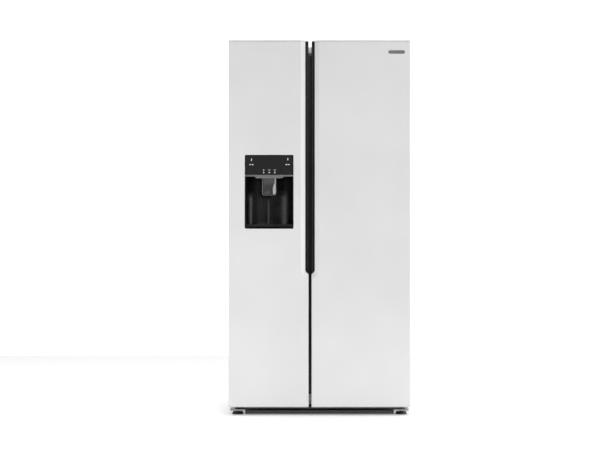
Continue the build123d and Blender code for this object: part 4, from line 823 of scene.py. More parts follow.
def finish_node(
    node: str, finish: Finish, edge_mm: float = 0.6, segments: int = 2, clamp: bool = True,
    angle: float = 32,
) -> bpy.types.Object:
    """Replace a CAD node by a merged copy with rounded edges and its finish.

    Args:
        node: The CAD node.
        finish: Its finish.
        edge_mm: Bevel width; 0 leaves the edges as they are.
        segments: Facets across a bevel.
        clamp: Keep bevels from overlapping.
        angle: Edges sharper than this many degrees are bevelled.

    Returns:
        The piece.
    """
    blank = Blank().node_copy(node)
    name = f"{node}_finished"
    return make_piece(
        blank, name, finish, BODY_OF[node], edge_mm, segments, clamp, (node,), angle
    )


def islands(node: str) -> list[tuple[Vector, Vector]]:
    """Boxes of a CAD node's separate solids.

    Args:
        node: The CAD node.

    Returns:
        Low and high corners of each solid, lowest first.
    """
    bm = bmesh.new()
    bm.from_mesh(frame["nodes"][node].data)
    bmesh.ops.remove_doubles(bm, verts=bm.verts, dist=2e-6)
    left = set(bm.verts)
    boxes = []
    while left:
        stack = [left.pop()]
        found = list(stack)
        while stack:
            here = stack.pop()
            for edge in here.link_edges:
                other = edge.other_vert(here)
                if other in left:
                    left.discard(other)
                    found.append(other)
                    stack.append(other)
        low = Vector([min(v.co[axis] for v in found) for axis in range(3)])
        high = Vector([max(v.co[axis] for v in found) for axis in range(3)])
        boxes.append((low, high))
    bm.free()
    return sorted(boxes, key=lambda pair: pair[0].z)


# ---------------------------------------------------------------- geometry nodes
class Repeater:
    """Geometry Nodes trees: stamps on a grid, stamps round a ring, a wound flight."""

    def __init__(self) -> None:
        """Build the three trees."""
        self.grid_tree, self.grid_ids = self._grid()
        self.ring_tree, self.ring_ids = self._ring()
        self.spiral_tree, self.spiral_ids = self._spiral()

    def _start(self, name: str, sockets: Sequence[tuple[str, str]]) -> tuple:
        """Start a tree with its named inputs.

        Args:
            name: The tree's name.
            sockets: Each input's name and socket type.

        Returns:
            The tree, its input node and the inputs' identifiers.
        """
        tree = bpy.data.node_groups.new(name, "GeometryNodeTree")
        face = tree.interface
        face.new_socket("Geometry", in_out="INPUT", socket_type="NodeSocketGeometry")
        ids = {}
        for label, kind in sockets:
            ids[label] = face.new_socket(label, in_out="INPUT", socket_type=kind).identifier
        face.new_socket("Geometry", in_out="OUTPUT", socket_type="NodeSocketGeometry")
        return tree, add_node(tree, "NodeGroupInput"), ids

    def _end(self, tree: Tree, made: Socket, source: Node) -> None:
        """Realise the instances, set the material and send the result out.

        Args:
            tree: The tree.
            made: The geometry so far.
            source: The tree's input node, which holds the Finish.
        """
        real = add_node(tree, "GeometryNodeRealizeInstances", inputs={"Geometry": made})
        dressed = add_node(
            tree, "GeometryNodeSetMaterial",
            inputs={"Geometry": real.outputs["Geometry"], "Material": source.outputs["Finish"]},
        )
        add_node(tree, "NodeGroupOutput", inputs={"Geometry": dressed.outputs["Geometry"]})

    def _grid(self) -> tuple:
        """Stamps on a grid in the XY plane, centred on the origin."""
        tree, source, ids = self._start("grid_of_stamps", [
            ("Width", "NodeSocketFloat"), ("Height", "NodeSocketFloat"),
            ("Columns", "NodeSocketInt"), ("Rows", "NodeSocketInt"), ("Finish", "NodeSocketMaterial"),
        ])
        grid = add_node(tree, "GeometryNodeMeshGrid", inputs={
            "Size X": source.outputs["Width"], "Size Y": source.outputs["Height"],
            "Vertices X": source.outputs["Columns"], "Vertices Y": source.outputs["Rows"],
        })
        placed = add_node(tree, "GeometryNodeInstanceOnPoints", inputs={
            "Points": grid.outputs["Mesh"], "Instance": source.outputs["Geometry"],
        })
        self._end(tree, placed.outputs["Instances"], source)
        return tree, ids

    def _ring(self) -> tuple:
        """Stamps turned evenly about the Z axis."""
        tree, source, ids = self._start("ring_of_stamps", [
            ("Count", "NodeSocketInt"), ("Finish", "NodeSocketMaterial"),
        ])
        line = add_node(tree, "GeometryNodeMeshLine", inputs={
            "Count": source.outputs["Count"], "Offset": (0, 0, 0),
        })
        index = add_node(tree, "GeometryNodeInputIndex")
        step = add_node(tree, "ShaderNodeMath", {"operation": "DIVIDE"}, {
            0: math.tau, 1: source.outputs["Count"],
        })
        turn = add_node(tree, "ShaderNodeMath", {"operation": "MULTIPLY"}, {
            0: index.outputs["Index"], 1: step.outputs["Value"],
        })
        angle = add_node(tree, "ShaderNodeCombineXYZ", inputs={"Z": turn.outputs["Value"]})
        placed = add_node(tree, "GeometryNodeInstanceOnPoints", inputs={
            "Points": line.outputs["Mesh"], "Instance": source.outputs["Geometry"],
            "Rotation": angle.outputs["Vector"],
        })
        self._end(tree, placed.outputs["Instances"], source)
        return tree, ids

    def _spiral(self) -> tuple:
        """A flat bar wound as a helix along Z."""
        tree, source, ids = self._start("wound_flight", [
            ("Turns", "NodeSocketFloat"), ("Radius", "NodeSocketFloat"), ("Length", "NodeSocketFloat"),
            ("Bar width", "NodeSocketFloat"), ("Bar thickness", "NodeSocketFloat"),
            ("Finish", "NodeSocketMaterial"),
        ])
        spiral = add_node(tree, "GeometryNodeCurveSpiral", inputs={
            "Resolution": 24, "Rotations": source.outputs["Turns"],
            "Start Radius": source.outputs["Radius"], "End Radius": source.outputs["Radius"],
            "Height": source.outputs["Length"],
        })
        upright = add_node(tree, "GeometryNodeSetCurveNormal", {"mode": "Z_UP"}, {
            "Curve": spiral.outputs["Curve"],
        })
        bar = add_node(tree, "GeometryNodeCurvePrimitiveQuadrilateral", inputs={
            "Width": source.outputs["Bar width"], "Height": source.outputs["Bar thickness"],
        })
        flight = add_node(tree, "GeometryNodeCurveToMesh", inputs={
            "Curve": upright.outputs["Curve"], "Profile Curve": bar.outputs["Curve"], "Fill Caps": True,
        })
        self._end(tree, flight.outputs["Mesh"], source)
        return tree, ids

    def _run(self, item: bpy.types.Object, tree: Tree, values: dict) -> bpy.types.Object:
        """Set the modifier's inputs and turn the result into a mesh.

        Args:
            item: The object that gets the modifier.
            tree: The tree.
            values: Input identifiers, each with its value.

        Returns:
            The object.
        """
        modifier = item.modifiers.new("repeat", "NODES")
        modifier.node_group = tree
        for identifier, value in values.items():
            modifier[identifier] = value
        apply_modifiers(item)
        return item

    def grid(
        self, stamp: bpy.types.Object, size: Point, counts: tuple[int, int], finish: Finish,
        matrix: Matrix,
    ) -> bpy.types.Object:
        """Repeat a stamp on a grid.

        Args:
            stamp: The object to repeat, at the origin.
            size: Width and height between the outer stamps.
            counts: Columns and rows.
            finish: The stamps' finish.
            matrix: Takes the grid from the XY plane to its place.

        Returns:
            The object.
        """
        ids = self.grid_ids
        self._run(stamp, self.grid_tree, {
            ids["Width"]: size[0], ids["Height"]: size[1], ids["Columns"]: counts[0],
            ids["Rows"]: counts[1], ids["Finish"]: finish.build(),
        })
        stamp.data.transform(matrix)
        return stamp

    def ring(
        self, stamp: bpy.types.Object, count: int, finish: Finish, matrix: Matrix
    ) -> bpy.types.Object:
        """Repeat a stamp round Z, then move it to its place.

        Args:
            stamp: The object to repeat, at the origin.
            count: Number of stamps.
            finish: Their finish.
            matrix: Takes the ring from the Z axis to its place.

        Returns:
            The object.
        """
        ids = self.ring_ids
        self._run(stamp, self.ring_tree, {ids["Count"]: count, ids["Finish"]: finish.build()})
        stamp.data.transform(matrix)
        return stamp

    def flight(
        self, name: str, turns: float, radius: float, length: float, bar: Point, finish: Finish,
        matrix: Matrix,
    ) -> bpy.types.Object:
        """Wind a helical flight, then move it to its place.

        Args:
            name: The object's name.
            turns: Number of turns.
            radius: Radius of the bar's middle.
            length: Length along the axis.
            bar: Width and thickness of the bar.
            finish: The flight's finish.
            matrix: Takes the flight from the Z axis to its place.

        Returns:
            The object.
        """
        item = Blank().to_object(name)
        ids = self.spiral_ids
        self._run(item, self.spiral_tree, {
            ids["Turns"]: turns, ids["Radius"]: radius, ids["Length"]: length,
            ids["Bar width"]: bar[0], ids["Bar thickness"]: bar[1], ids["Finish"]: finish.build(),
        })
        item.data.transform(matrix)
        return item


def about_y(x: float, y: float, z: float) -> Matrix:
    """Matrix that turns the XY plane to face the doors (-Y) and moves it to a place."""
    return Matrix.Translation((x, y, z)) @ Matrix.Rotation(math.radians(90), 4, "X")


def about_x(x: float, y: float, z: float) -> Matrix:
    """Matrix that turns the Z axis along X and moves it to a place."""
    return Matrix.Translation((x, y, z)) @ Matrix.Rotation(math.radians(90), 4, "Y")


def screw_stamp(name: str, radius_mm: float) -> bpy.types.Object:
    """A domed cross-head screw that stands along +Z from the origin.

    Args:
        name: The object's name.
        radius_mm: The head's radius.

    Returns:
        The object.
    """
    radius = radius_mm * MM
    blank = Blank()
    sections = []
    for share, rise in ((1.0, 0.0), (1.0, 0.25), (0.86, 0.42), (0.6, 0.52), (0.28, 0.56)):
        sections.append((circle_outline((0, 0), radius * share, 18), radius * rise))
    blank.skin(sections, Plane3.XY)
    blank.box((-radius * 0.5, -radius * 0.1, radius * 0.5), (radius * 0.5, radius * 0.1, radius * 0.58))
    blank.box((-radius * 0.1, -radius * 0.5, radius * 0.5), (radius * 0.1, radius * 0.5, radius * 0.58))
    return blank.to_object(name)


# ---------------------------------------------------------------- doors
@dataclass
class Door:
    """One door: steel skin, caps, foam, liner, seal, grip moulding and bins."""

    name: str
    body: str
    side: int
    edge_mm: float = 1.1
    bead_from_gap_mm: float = 5.0
    bead_radius_mm: float = 1.3
    slope_outer_mm: float = 36.3
    slope_inner_mm: float = 15.4
    nose_height_mm: float = 6.5
    nose_drop_mm: float = 0.4
    skirt_height_mm: float = 10.5
    rim_height_mm: float = 9.0
    rim_end_mm: float = 6.0
    rim_thickness_mm: Point = (2.0, 1.2)
    bead_depth_mm: float = 6.0
    bead_low_mm: float = 22.0
    bead_high_mm: float = 8.0
    seal_inset_mm: float = 9.0
    bellows_radius_mm: float = 2.4
    bellows_offset_mm: float = 4.6
    bellows_back_mm: float = 1.5

    def build(self) -> None:
        """Make every piece of the door."""
        finish_node(f"{self.name}_door_panel", WHITE_STEEL, self.edge_mm, 3, False, 20)
        finish_node(f"{self.name}_door_caps", WHITE_ABS, 0.5, 2, True, 20)
        finish_node(f"{self.name}_door_foam", FOAM, 0)
        finish_node(f"{self.name}_door_liner", LINER_HIPS, 3.0, 3)
        finish_node(f"{self.name}_handle_profile", GRIP_ABS, 1.2, 3)
        self.seal()
        self.bead()
        self.cap_nose()
        self.bins()

    def seal(self) -> None:
        """Magnetic seal with its bellows groove."""
        node = f"{self.name}_door_gasket"
        finish_node(node, SEAL_VINYL, 2.0, 3)
        low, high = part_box(node)
        inset, radius = self.seal_inset_mm * MM, self.bellows_radius_mm * MM
        spread = self.bellows_offset_mm * MM
        y = (low.y + high.y) / 2 + self.bellows_back_mm * MM
        x0, x1, z0, z1 = low.x + inset, high.x - inset, low.z + inset, high.z - inset
        for number, offset in enumerate((-spread, spread)):
            run = Blank()
            a0, a1, b0, b1 = x0 - offset, x1 + offset, z0 - offset, z1 + offset
            sides = (
                ((a0, b0), (a1, b0)), ((a0, b1), (a1, b1)), ((a0, b0), (a0, b1)), ((a1, b0), (a1, b1)),
            )
            for start, end in sides:
                run.tube([(start[0], y, start[1]), (end[0], y, end[1])], radius, 10)
            make_piece(run, f"{self.name}_seal_bellows_{number}", SEAL_VINYL, self.body, 0)

    def bead(self) -> None:
        """Raised bead down the grip moulding, where the fingertips rest; its lighter grey is painted
        highlight.
        """
        low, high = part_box(f"{self.name}_handle_profile")
        gap_x = high.x if self.side < 0 else low.x
        x = gap_x + self.side * self.bead_from_gap_mm * MM
        radius = self.bead_radius_mm * MM
        y = high.y - self.bead_depth_mm * MM
        ends = (low.z + self.bead_low_mm * MM, high.z - self.bead_high_mm * MM)
        blank = Blank().tube([(x, y, ends[0]), (x, y, ends[1])], radius, 10)
        # The bead's lighter grey is painted highlight: a lit line along the dark grip strip.
        make_piece(
            blank, f"{self.name}_grip_bead", BEAD_HIGHLIGHT_ABS, self.body,
            0,
        )

    def cap_nose(self) -> None:
        """End of the top cap that closes the grip's slope and its dark strip."""
        low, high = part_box(f"{self.name}_door_caps")
        gap_x = high.x if self.side < 0 else low.x
        face = low.y
        outer = self.side * self.slope_outer_mm * MM
        inner = self.side * self.slope_inner_mm * MM
        slope = [
            (gap_x, face + 11.2 * MM), (gap_x + inner, face + 10.2 * MM),
            (gap_x + outer, face + 0.3 * MM),
            (gap_x + outer, face + 14 * MM), (gap_x, face + 14 * MM),
        ]
        top = high.z - self.nose_drop_mm * MM
        blank = Blank().sweep(slope, Plane3.XY, high.z - self.nose_height_mm * MM, top)
        make_piece(blank, f"{self.name}_cap_nose", WHITE_ABS, self.body, 0.6)
        skirt = [slope[1], slope[2], (gap_x + outer, face + 5 * MM), (gap_x + inner, face + 13 * MM)]
        bottom = high.z - self.skirt_height_mm * MM
        blank = Blank().sweep(skirt, Plane3.XY, bottom, high.z - self.nose_height_mm * MM)
        make_piece(blank, f"{self.name}_cap_skirt", WHITE_ABS, self.body, 0.3)

    def bins(self) -> None:
        """Clear bins with a satin rail along each outer edge."""
        node = f"{self.name}_door_bins"
        finish_node(node, CLEAR_STYRENE, 1.2, 3)
        rims = Blank()
        end = self.rim_end_mm * MM
        behind, before = (side * MM for side in self.rim_thickness_mm)
        for low, high in islands(node):
            rims.box(
                (low.x + end, high.y - behind, high.z - self.rim_height_mm * MM),
                (high.x - end, high.y + before, high.z),
            )
        make_piece(rims, f"{self.name}_bin_rims", SATIN_ALUMINIUM, self.body, 0.7)


# ---------------------------------------------------------------- dispenser
@dataclass
class Dispenser:
    """The well in the freezer door with its panel, trim, paddle and tray."""

    body: str = "freezer_door"
    wall_mm: float = 4.0
    side_power: float = 0.7
    floor_taper: float = 0.08
    floor_draw_mm: float = 3.0
    well_depth_mm: float = 70.0
    panel_rim_mm: float = 4.5
    paddle_half_mm: float = 35.0
    rings: int = 28
    face_y: float = field(init=False)
    centre_x: float = field(init=False)
    width: float = field(init=False)
    bottom_z: float = field(init=False)
    top_z: float = field(init=False)

    def __post_init__(self) -> None:
        """Read the dispenser's place from the frame."""
        low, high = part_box("control_panel")
        self.face_y = low.y
        self.centre_x = (low.x + high.x) / 2
        self.width = high.x - low.x
        self.bottom_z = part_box("dispenser_housing")[0].z
        self.top_z = high.z

    def build(self) -> None:
        """Make every piece of the dispenser."""
        self.well()
        self.panel()
        self.marks()
        self.trim()
        self.paddle()
        self.tray()
        finish_node("ice_chute_flap", GRAPHITE_ABS, 0.4)

    def well(self) -> None:
        """The smooth dark well, drawn as one skin that rounds into its back."""
        wall = self.wall_mm * MM
        inside = [self._well_ring(ring / self.rings, 0) for ring in range(self.rings + 1)]
        outside = [self._well_ring(ring / self.rings, wall) for ring in range(self.rings, -1, -1)]
        blank = Blank().skin(outside + inside, Plane3.XZ)
        item = blank.to_object("dispenser_well")
        for polygon in item.data.polygons:
            polygon.use_smooth = True
        item.data.set_sharp_from_angle(angle=math.radians(40))
        place_piece(item, WELL_ABS, self.body, ("dispenser_housing",))
        duct = Blank().node_copy("dispenser_housing")
        duct.keep_above(self.top_z - 3 * MM)
        make_piece(duct, "ice_chute_duct", BLACK_ABS, self.body, 0.5)

    def _well_ring(self, share: float, wall: float) -> tuple[list[Point], float]:
        """One outline of the well.

        Args:
            share: 0 at the door's face, 1 at the back of the well.
            wall: Extra size, for the outer side of the wall.

        Returns:
            The outline and its depth.
        """
        turn = math.pi / 2 * share
        bend = 1 - math.cos(turn)
        depth = 0.6 * MM + (self.well_depth_mm * MM + wall) * math.sin(turn)
        inset = self.wall_mm * MM - wall
        half_w = (self.width / 2 - inset) * max(math.cos(turn), 0.06) ** self.side_power
        rise = self.floor_taper * depth + self.floor_draw_mm * MM * bend
        low = self.bottom_z + inset + rise
        high = self.top_z - inset - rise
        radius = (2 + 26 * bend) * MM + wall
        middle = (self.centre_x, (low + high) / 2)
        outline = rounded_rectangle(middle, (2 * half_w, high - low), radius, 8)
        return outline, self.face_y + depth

    def panel(self) -> None:
        """Touch panel: a dark frame with the acrylic face let into it."""
        finish_node("control_panel", PANEL_RIM, 0.4, 2)
        low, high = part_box("control_panel")
        inset = self.panel_rim_mm * MM
        middle = (self.centre_x, (low.z + high.z) / 2)
        size = (high.x - low.x - 2 * inset, high.z - low.z - 2 * inset)
        inner = (size[0] - 0.6 * MM, size[1] - 0.6 * MM)
        blank = Blank().skin([
            (rounded_rectangle(middle, size, 4 * MM), low.y + 1.2 * MM),
            (rounded_rectangle(middle, size, 4 * MM), low.y - 0.1 * MM),
            (rounded_rectangle(middle, inner, 3.7 * MM), low.y - 0.3 * MM),
        ], Plane3.XZ)
        make_piece(blank, "panel_face", PANEL_ACRYLIC, self.body, 0)

    def marks(self) -> None:
        """Plain generic marks on the panel: drops, bars, a flake, an arc and lamps."""
        face = self.face_y
        start, end = face - 0.45 * MM, face
        bright = Blank()
        dim = Blank()
        for x, z in ((-84, 1220), (89, 1223)):
            drop = [
                (x + 3.4 * math.sin(a) * (0.55 + 0.45 * math.cos(a / 2) ** 2), z + 6.2 * -math.cos(a))
                for a in (2 * math.pi * i / 20 for i in range(20))
            ]
            outline = [(self.centre_x + px * MM, pz * MM) for px, pz in drop]
            bright.sweep(outline, Plane3.XZ, start, end)
        for x, z in ((-84, 1196.5), (88, 1196.5)):
            for offset in (-5.6, 5.6):
                middle = (self.centre_x + (x + offset) * MM, z * MM)
                bar = rounded_rectangle(middle, (8.6 * MM, 5.0 * MM), 2.4 * MM)
                bright.sweep(bar, Plane3.XZ, start, end)
        for index, x in enumerate((-26, 0.5, 27)):
            lamp = circle_outline((self.centre_x + x * MM, 1159 * MM), 3.4 * MM, 20)
            (dim if index == 0 else bright).sweep(lamp, Plane3.XZ, start, end)
        for offset in (-4.2, 0, 4.2):
            middle = (self.centre_x + (27 + offset) * MM, 1171 * MM)
            dim.sweep(rounded_rectangle(middle, (3.2 * MM, 3.2 * MM), 0.8 * MM), Plane3.XZ, start, end)
        self._arc(dim, 0.5, 1168, start, end)
        self._flake(dim, -26, 1171, start, end)
        make_piece(bright, "panel_bright_marks", PRINT, self.body, 0)
        make_piece(dim, "panel_dim_marks", DIM_PRINT, self.body, 0)

    def _arc(self, blank: Blank, x: float, z: float, start: float, end: float) -> None:
        """Add a half ring, as of a glass's rim.

        Args:
            blank: The blank that gets it.
            x: Its middle, in mm from the panel's middle.
            z: Its height in mm.
            start: Front of the print.
            end: Back of the print.
        """
        outline = []
        for radius, way in ((5.4, 1), (3.6, -1)):
            for i in range(13):
                angle = math.pi * (i if way > 0 else 12 - i) / 12
                outline.append((
                    self.centre_x + (x + radius * math.cos(angle)) * MM,
                    (z + radius * math.sin(angle)) * MM,
                ))
        blank.sweep(outline, Plane3.XZ, start, end)

    def _flake(self, blank: Blank, x: float, z: float, start: float, end: float) -> None:
        """Add three crossed bars, as of a flake of ice.

        Args:
            blank: The blank that gets them.
            x: Their middle, in mm from the panel's middle.
            z: Their height in mm.
            start: Front of the print.
            end: Back of the print.
        """
        for i in range(3):
            angle = math.pi * i / 3
            along = Vector((math.cos(angle), math.sin(angle)))
            across = Vector((-along.y, along.x))
            centre = Vector((self.centre_x + x * MM, z * MM))
            corners = [(4.4, 0.7), (-4.4, 0.7), (-4.4, -0.7), (4.4, -0.7)]
            outline = [tuple(centre + along * a * MM + across * b * MM) for a, b in corners]
            blank.sweep(outline, Plane3.XZ, start + i * 0.02 * MM, end)

    def trim(self) -> None:
        """Satin trim strip with its swelled middle."""
        finish_node("dispenser_trim", SATIN_ALUMINIUM, 0.9, 3)

    def paddle(self) -> None:
        """Smoke paddle: a dished plate with a raised rim, on its pin."""
        low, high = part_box("dispenser_paddle")
        width = 2 * self.paddle_half_mm * MM
        front = low.y + 0.2 * MM
        top = high.z - 4 * MM
        bottom = low.z
        middle = (self.centre_x, (top + bottom) / 2)
        radius = 12 * MM
        steps = 10
        outer, edge, back, rim, dish = (
            rounded_rectangle(
                middle, (width - less * MM, top - bottom - less * MM), radius - tighter * MM, steps
            )
            for less, tighter in ((0, 0), (3, 1.5), (4, 2), (9, 4), (14, 6))
        )
        blank = Blank().skin([
            (back, high.y - 0.6 * MM),
            (outer, high.y - 2.4 * MM),
            (outer, front + 1.2 * MM),
            (edge, front),
            (rim, front + 0.4 * MM),
            (dish, front + 3.0 * MM),
        ], Plane3.XZ)
        item = blank.to_object("paddle_plate")
        for polygon in item.data.polygons:
            polygon.use_smooth = True
        item.data.set_sharp_from_angle(angle=math.radians(50))
        place_piece(item, SMOKE_ACRYLIC, "paddle", ("dispenser_paddle",))
        self._paddle_edges(front, top, bottom, radius)
        y = (low.y + high.y) / 2
        pin = Blank().tube([(low.x, y, high.z - 3.5 * MM), (high.x, y, high.z - 3.5 * MM)], 3.4 * MM, 20)
        make_piece(pin, "paddle_pin", GRAPHITE_ABS, "paddle", 0.3)

    def _paddle_edges(self, front: float, top: float, bottom: float, radius: float) -> None:
        """Clear bead round the paddle's left and lower rim and the waved ridge down its right side, both
        lighter than the paddle as painted highlight.

        Args:
            front: The paddle's front plane.
            top: Its upper edge.
            bottom: Its lower edge.
            radius: Its corner radius.
        """
        half = self.paddle_half_mm * MM - 2.6 * MM
        bend = radius - 2.6 * MM
        y = front + 0.9 * MM
        low = bottom + 2.6 * MM
        path = [(self.centre_x - half, y, top - 4 * MM)]
        for step in range(9):
            angle = math.pi * (1 + step / 16)
            path.append((
                self.centre_x - half + bend + bend * math.cos(angle), y,
                low + bend + bend * math.sin(angle),
            ))
        path.append((self.centre_x + half - bend, y, low))
        # The rim bead's lighter smoke is painted highlight along the lit left and lower rim.
        make_piece(Blank().tube(path, 1.5 * MM, 12), "paddle_rim_bead_painted_highlight", SMOKE_RIM_HIGHLIGHT, "paddle", 0)
        ridge = Blank()
        sections = []
        steps = 26
        for step in range(steps + 1):
            share = step / steps
            z = top - 5 * MM + (low + 3 * MM - top + 5 * MM) * share
            wave = 1 / (1 + math.exp(-14 * (share - 0.42)))
            left = self.centre_x + (25.5 - 8.5 * wave + 4 * max(0.0, share - 0.8)) * MM
            right = self.centre_x + (32.2 - 3.5 * max(0.0, share - 0.86) / 0.14) * MM
            outline = [
                (left, front + 1.9 * MM), (left + 1.6 * MM, front + 0.3 * MM),
                (right - 1.2 * MM, front + 0.3 * MM), (right, front + 1.9 * MM),
            ]
            sections.append((outline, z))
        ridge.skin(sections, Plane3.XY)
        # The ridge's pale clear finish is a painted highlight: the wavy reflection down the paddle's
        # right side.
        make_piece(ridge, "paddle_wave_painted_highlight", WAVE_HIGHLIGHT_ACRYLIC, "paddle", 0)

    def tray(self) -> None:
        """Drip tray with its bars, softened at the edges."""
        finish_node("drip_tray", BLACK_ABS, 0.5)


# ---------------------------------------------------------------- cabinet
@dataclass
class Cabinet:
    """The steel wrapper, liners, shelves, drawers and base."""

    body: str = "cabinet"
    kick_steps: int = 36
    ceiling_mm: float = 3.0
    trim_back_mm: float = 5.0
    trim_depth_mm: float = 16.0
    trim_extra_mm: float = 7.0
    trim_radius_mm: float = 3.5
    trim_end_mm: float = 3.0
    rail_end_mm: float = 6.0
    lamp_size_mm: Point = (150.0, 60.0)
    lamp_corner_mm: float = 14.0
    lamp_y_mm: float = -70.0
    lamp_drop_mm: float = 7.0
    louvre_size_mm: Point = (70.0, 3.2)
    louvre_corner_mm: float = 1.5
    louvre_depth_mm: float = 2.4
    louvre_span_mm: float = 42.0
    louvre_count: int = 7
    screw_radius_mm: float = 4.2
    screw_inset_mm: float = 8.0
    clip_size_mm: Point = (13.0, 14.0)
    clip_corner_mm: float = 3.0
    clip_depth_mm: float = 3.5
    clip_drop_mm: float = 4.0

    def build(self, repeater: Repeater) -> None:
        """Make every piece of the cabinet.

        Args:
            repeater: The Geometry Nodes trees.
        """
        finish_node("cabinet_shell", WHITE_STEEL, 0.5, 2, clamp=True)
        finish_node("cabinet_foam", FOAM, 0)
        finish_node("freezer_liner", LINER_HIPS, 2.5, 3)
        finish_node("fridge_liner", LINER_HIPS, 2.5, 3)
        finish_node("mullion_cover", BLACK_ABS, 0.8)
        finish_node("rear_panel", ZINC_STEEL, 0.2)
        finish_node("base_pan", ZINC_STEEL, 0.4)
        finish_node("compressor_bay_cover", ZINC_STEEL, 0.2)
        finish_node("glass_shelves", SHELF_GLASS, 1.5, 3)
        finish_node("evaporator_cover", LINER_HIPS, 1.0)
        finish_node("fridge_air_duct", LINER_HIPS, 1.0)
        finish_node("ice_maker", GREY_ABS, 0.8)
        finish_node("ice_bucket", FROSTED_STYRENE, 1.5, 3)
        finish_node("water_filter", WHITE_ABS, 1.0)
        for node in DRAWERS:
            finish_node(node, FROSTED_STYRENE, 2.0, 3)
        self.shelf_trims()
        self.drawer_rails()
        self.lamps()
        self.vents(repeater)
        self.rear_screws(repeater)
        self.kick_plate()
        self.rail_clip()
        self.hinges()
        self.running_gear()

    def shelf_trims(self) -> None:
        """Rounded white profile along the front of each shelf."""
        trims = Blank()
        for low, high in islands("glass_shelves"):
            middle = (low.y + self.trim_back_mm * MM, (low.z + high.z) / 2)
            size = (self.trim_depth_mm * MM, high.z - low.z + self.trim_extra_mm * MM)
            outline = rounded_rectangle(middle, size, self.trim_radius_mm * MM, 5)
            end = self.trim_end_mm * MM
            trims.sweep(outline, Plane3.YZ, low.x + end, high.x - end)
        make_piece(trims, "shelf_front_trims", LINER_HIPS, self.body, 0)

    def drawer_rails(self) -> None:
        """Grip rail along the top of each drawer front."""
        for node in DRAWERS:
            low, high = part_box(node)
            outline = [
                (low.y - 9 * MM, high.z - 17 * MM), (low.y - 6 * MM, high.z - 20 * MM),
                (low.y + 2 * MM, high.z - 20 * MM), (low.y + 2 * MM, high.z - 3 * MM),
                (low.y - 5 * MM, high.z - 3 * MM), (low.y - 9 * MM, high.z - 6 * MM),
            ]
            end = self.rail_end_mm * MM
            rail = Blank().sweep(outline, Plane3.YZ, low.x + end, high.x - end)
            make_piece(rail, f"{node}_rail", LINER_HIPS, BODY_OF[node], 1.5, 3)

    def lamps(self) -> None:
        """Frosted lamp lens let into each ceiling."""
        for node in ("freezer_liner", "fridge_liner"):
            low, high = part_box(node)
            x = (low.x + high.x) / 2
            ceiling = high.z - self.ceiling_mm * MM
            size = (self.lamp_size_mm[0] * MM, self.lamp_size_mm[1] * MM)
            outline = rounded_rectangle((x, self.lamp_y_mm * MM), size, self.lamp_corner_mm * MM)
            lens = Blank().sweep(outline, Plane3.XY, ceiling - self.lamp_drop_mm * MM, ceiling + 0.5 * MM)
            make_piece(lens, f"{node}_lamp", LAMP, self.body, 2.0, 3)

    def vents(self, repeater: Repeater) -> None:
        """Louvre slats over the cold air outlets in the duct and the coil's cover.

        Args:
            repeater: The Geometry Nodes trees.
        """
        size = (self.louvre_size_mm[0] * MM, self.louvre_size_mm[1] * MM)
        slat_outline = rounded_rectangle((0, 0), size, self.louvre_corner_mm * MM)
        for node, rows in (("fridge_air_duct", 4), ("evaporator_cover", 2)):
            low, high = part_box(node)
            for row in range(rows):
                z = low.z + (high.z - low.z) * (row + 0.5) / rows
                blank = Blank().sweep(slat_outline, Plane3.XY, 0, self.louvre_depth_mm * MM)
                slat = blank.to_object(f"{node}_louvre_{row}")
                place = about_y((low.x + high.x) / 2, low.y + 0.4 * MM, z)
                span = (0, self.louvre_span_mm * MM)
                repeater.grid(slat, span, (1, self.louvre_count), GREY_ABS, place)
                place_piece(slat, GREY_ABS, self.body)

    def rear_screws(self, repeater: Repeater) -> None:
        """Domed screws round the rear panel and the bay cover.

        Args:
            repeater: The Geometry Nodes trees.
        """
        for node, columns, rows in (("rear_panel", 4, 6), ("compressor_bay_cover", 4, 2)):
            low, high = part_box(node)
            for side, rise in ((0, 1), (1, 0)):
                head = screw_stamp(f"{node}_screws_{side}", self.screw_radius_mm)
                width = high.x - low.x - 2 * self.screw_inset_mm * MM
                height = high.z - low.z - 2 * self.screw_inset_mm * MM
                counts = (columns, 2) if rise else (2, rows)
                middle = ((low.x + high.x) / 2, high.y - 0.2 * MM, (low.z + high.z) / 2)
                place = Matrix.Translation(middle) @ Matrix.Rotation(math.radians(-90), 4, "X")
                repeater.grid(head, (width, height), counts, SCREW_STEEL, place)
                place_piece(head, SCREW_STEEL, self.body)

    def kick_plate(self) -> None:
        """Bowed dark plate between the feet."""
        low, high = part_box("kick_plate")
        middle = (low.x + high.x) / 2
        half = (high.x - low.x) / 2
        depth, height = high.y - low.y, high.z - low.z
        sections = []
        for step in range(self.kick_steps + 1):
            x = middle + half * (2 * step / self.kick_steps - 1)
            swell = 1 - ((x - middle) / half) ** 4
            groove = depth * 0.6 * swell
            shape = [
                (1.0, 0.0), (1.0, 1.0), (0.12, 1.0), (0.02, 0.97), (0.0, 0.9), (0.02, 0.8 - 0.06 * swell),
                (0.06, 0.74 - 0.06 * swell), (0.06, 0.6), (0.02, 0.52), (0.0, 0.42), (0.0, 0.3),
                (0.03, 0.18), (0.1, 0.07), (0.22, 0.0),
            ]
            outline = []
            for index, (back, up) in enumerate(shape):
                y = low.y + back * depth + (groove if index in (6, 7) else 0)
                outline.append((y, low.z + up * height))
            sections.append((outline, x))
        blank = Blank().skin(sections, Plane3.YZ)
        make_piece(
            blank, "kick_plate_grooved", KICK_ABS, self.body, 0, 2, True,
            ("kick_plate",), 50,
        )

    def rail_clip(self) -> None:
        """Small grey clip at the top of the divider's strip."""
        low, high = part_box("mullion_cover")
        x = (low.x + high.x) / 2
        middle = (x, high.z - self.clip_drop_mm * MM)
        size = (self.clip_size_mm[0] * MM, self.clip_size_mm[1] * MM)
        outline = rounded_rectangle(middle, size, self.clip_corner_mm * MM)
        blank = Blank().sweep(outline, Plane3.XZ, low.y - self.clip_depth_mm * MM, low.y)
        make_piece(blank, "divider_clip", GREY_ABS, self.body, 0.8)

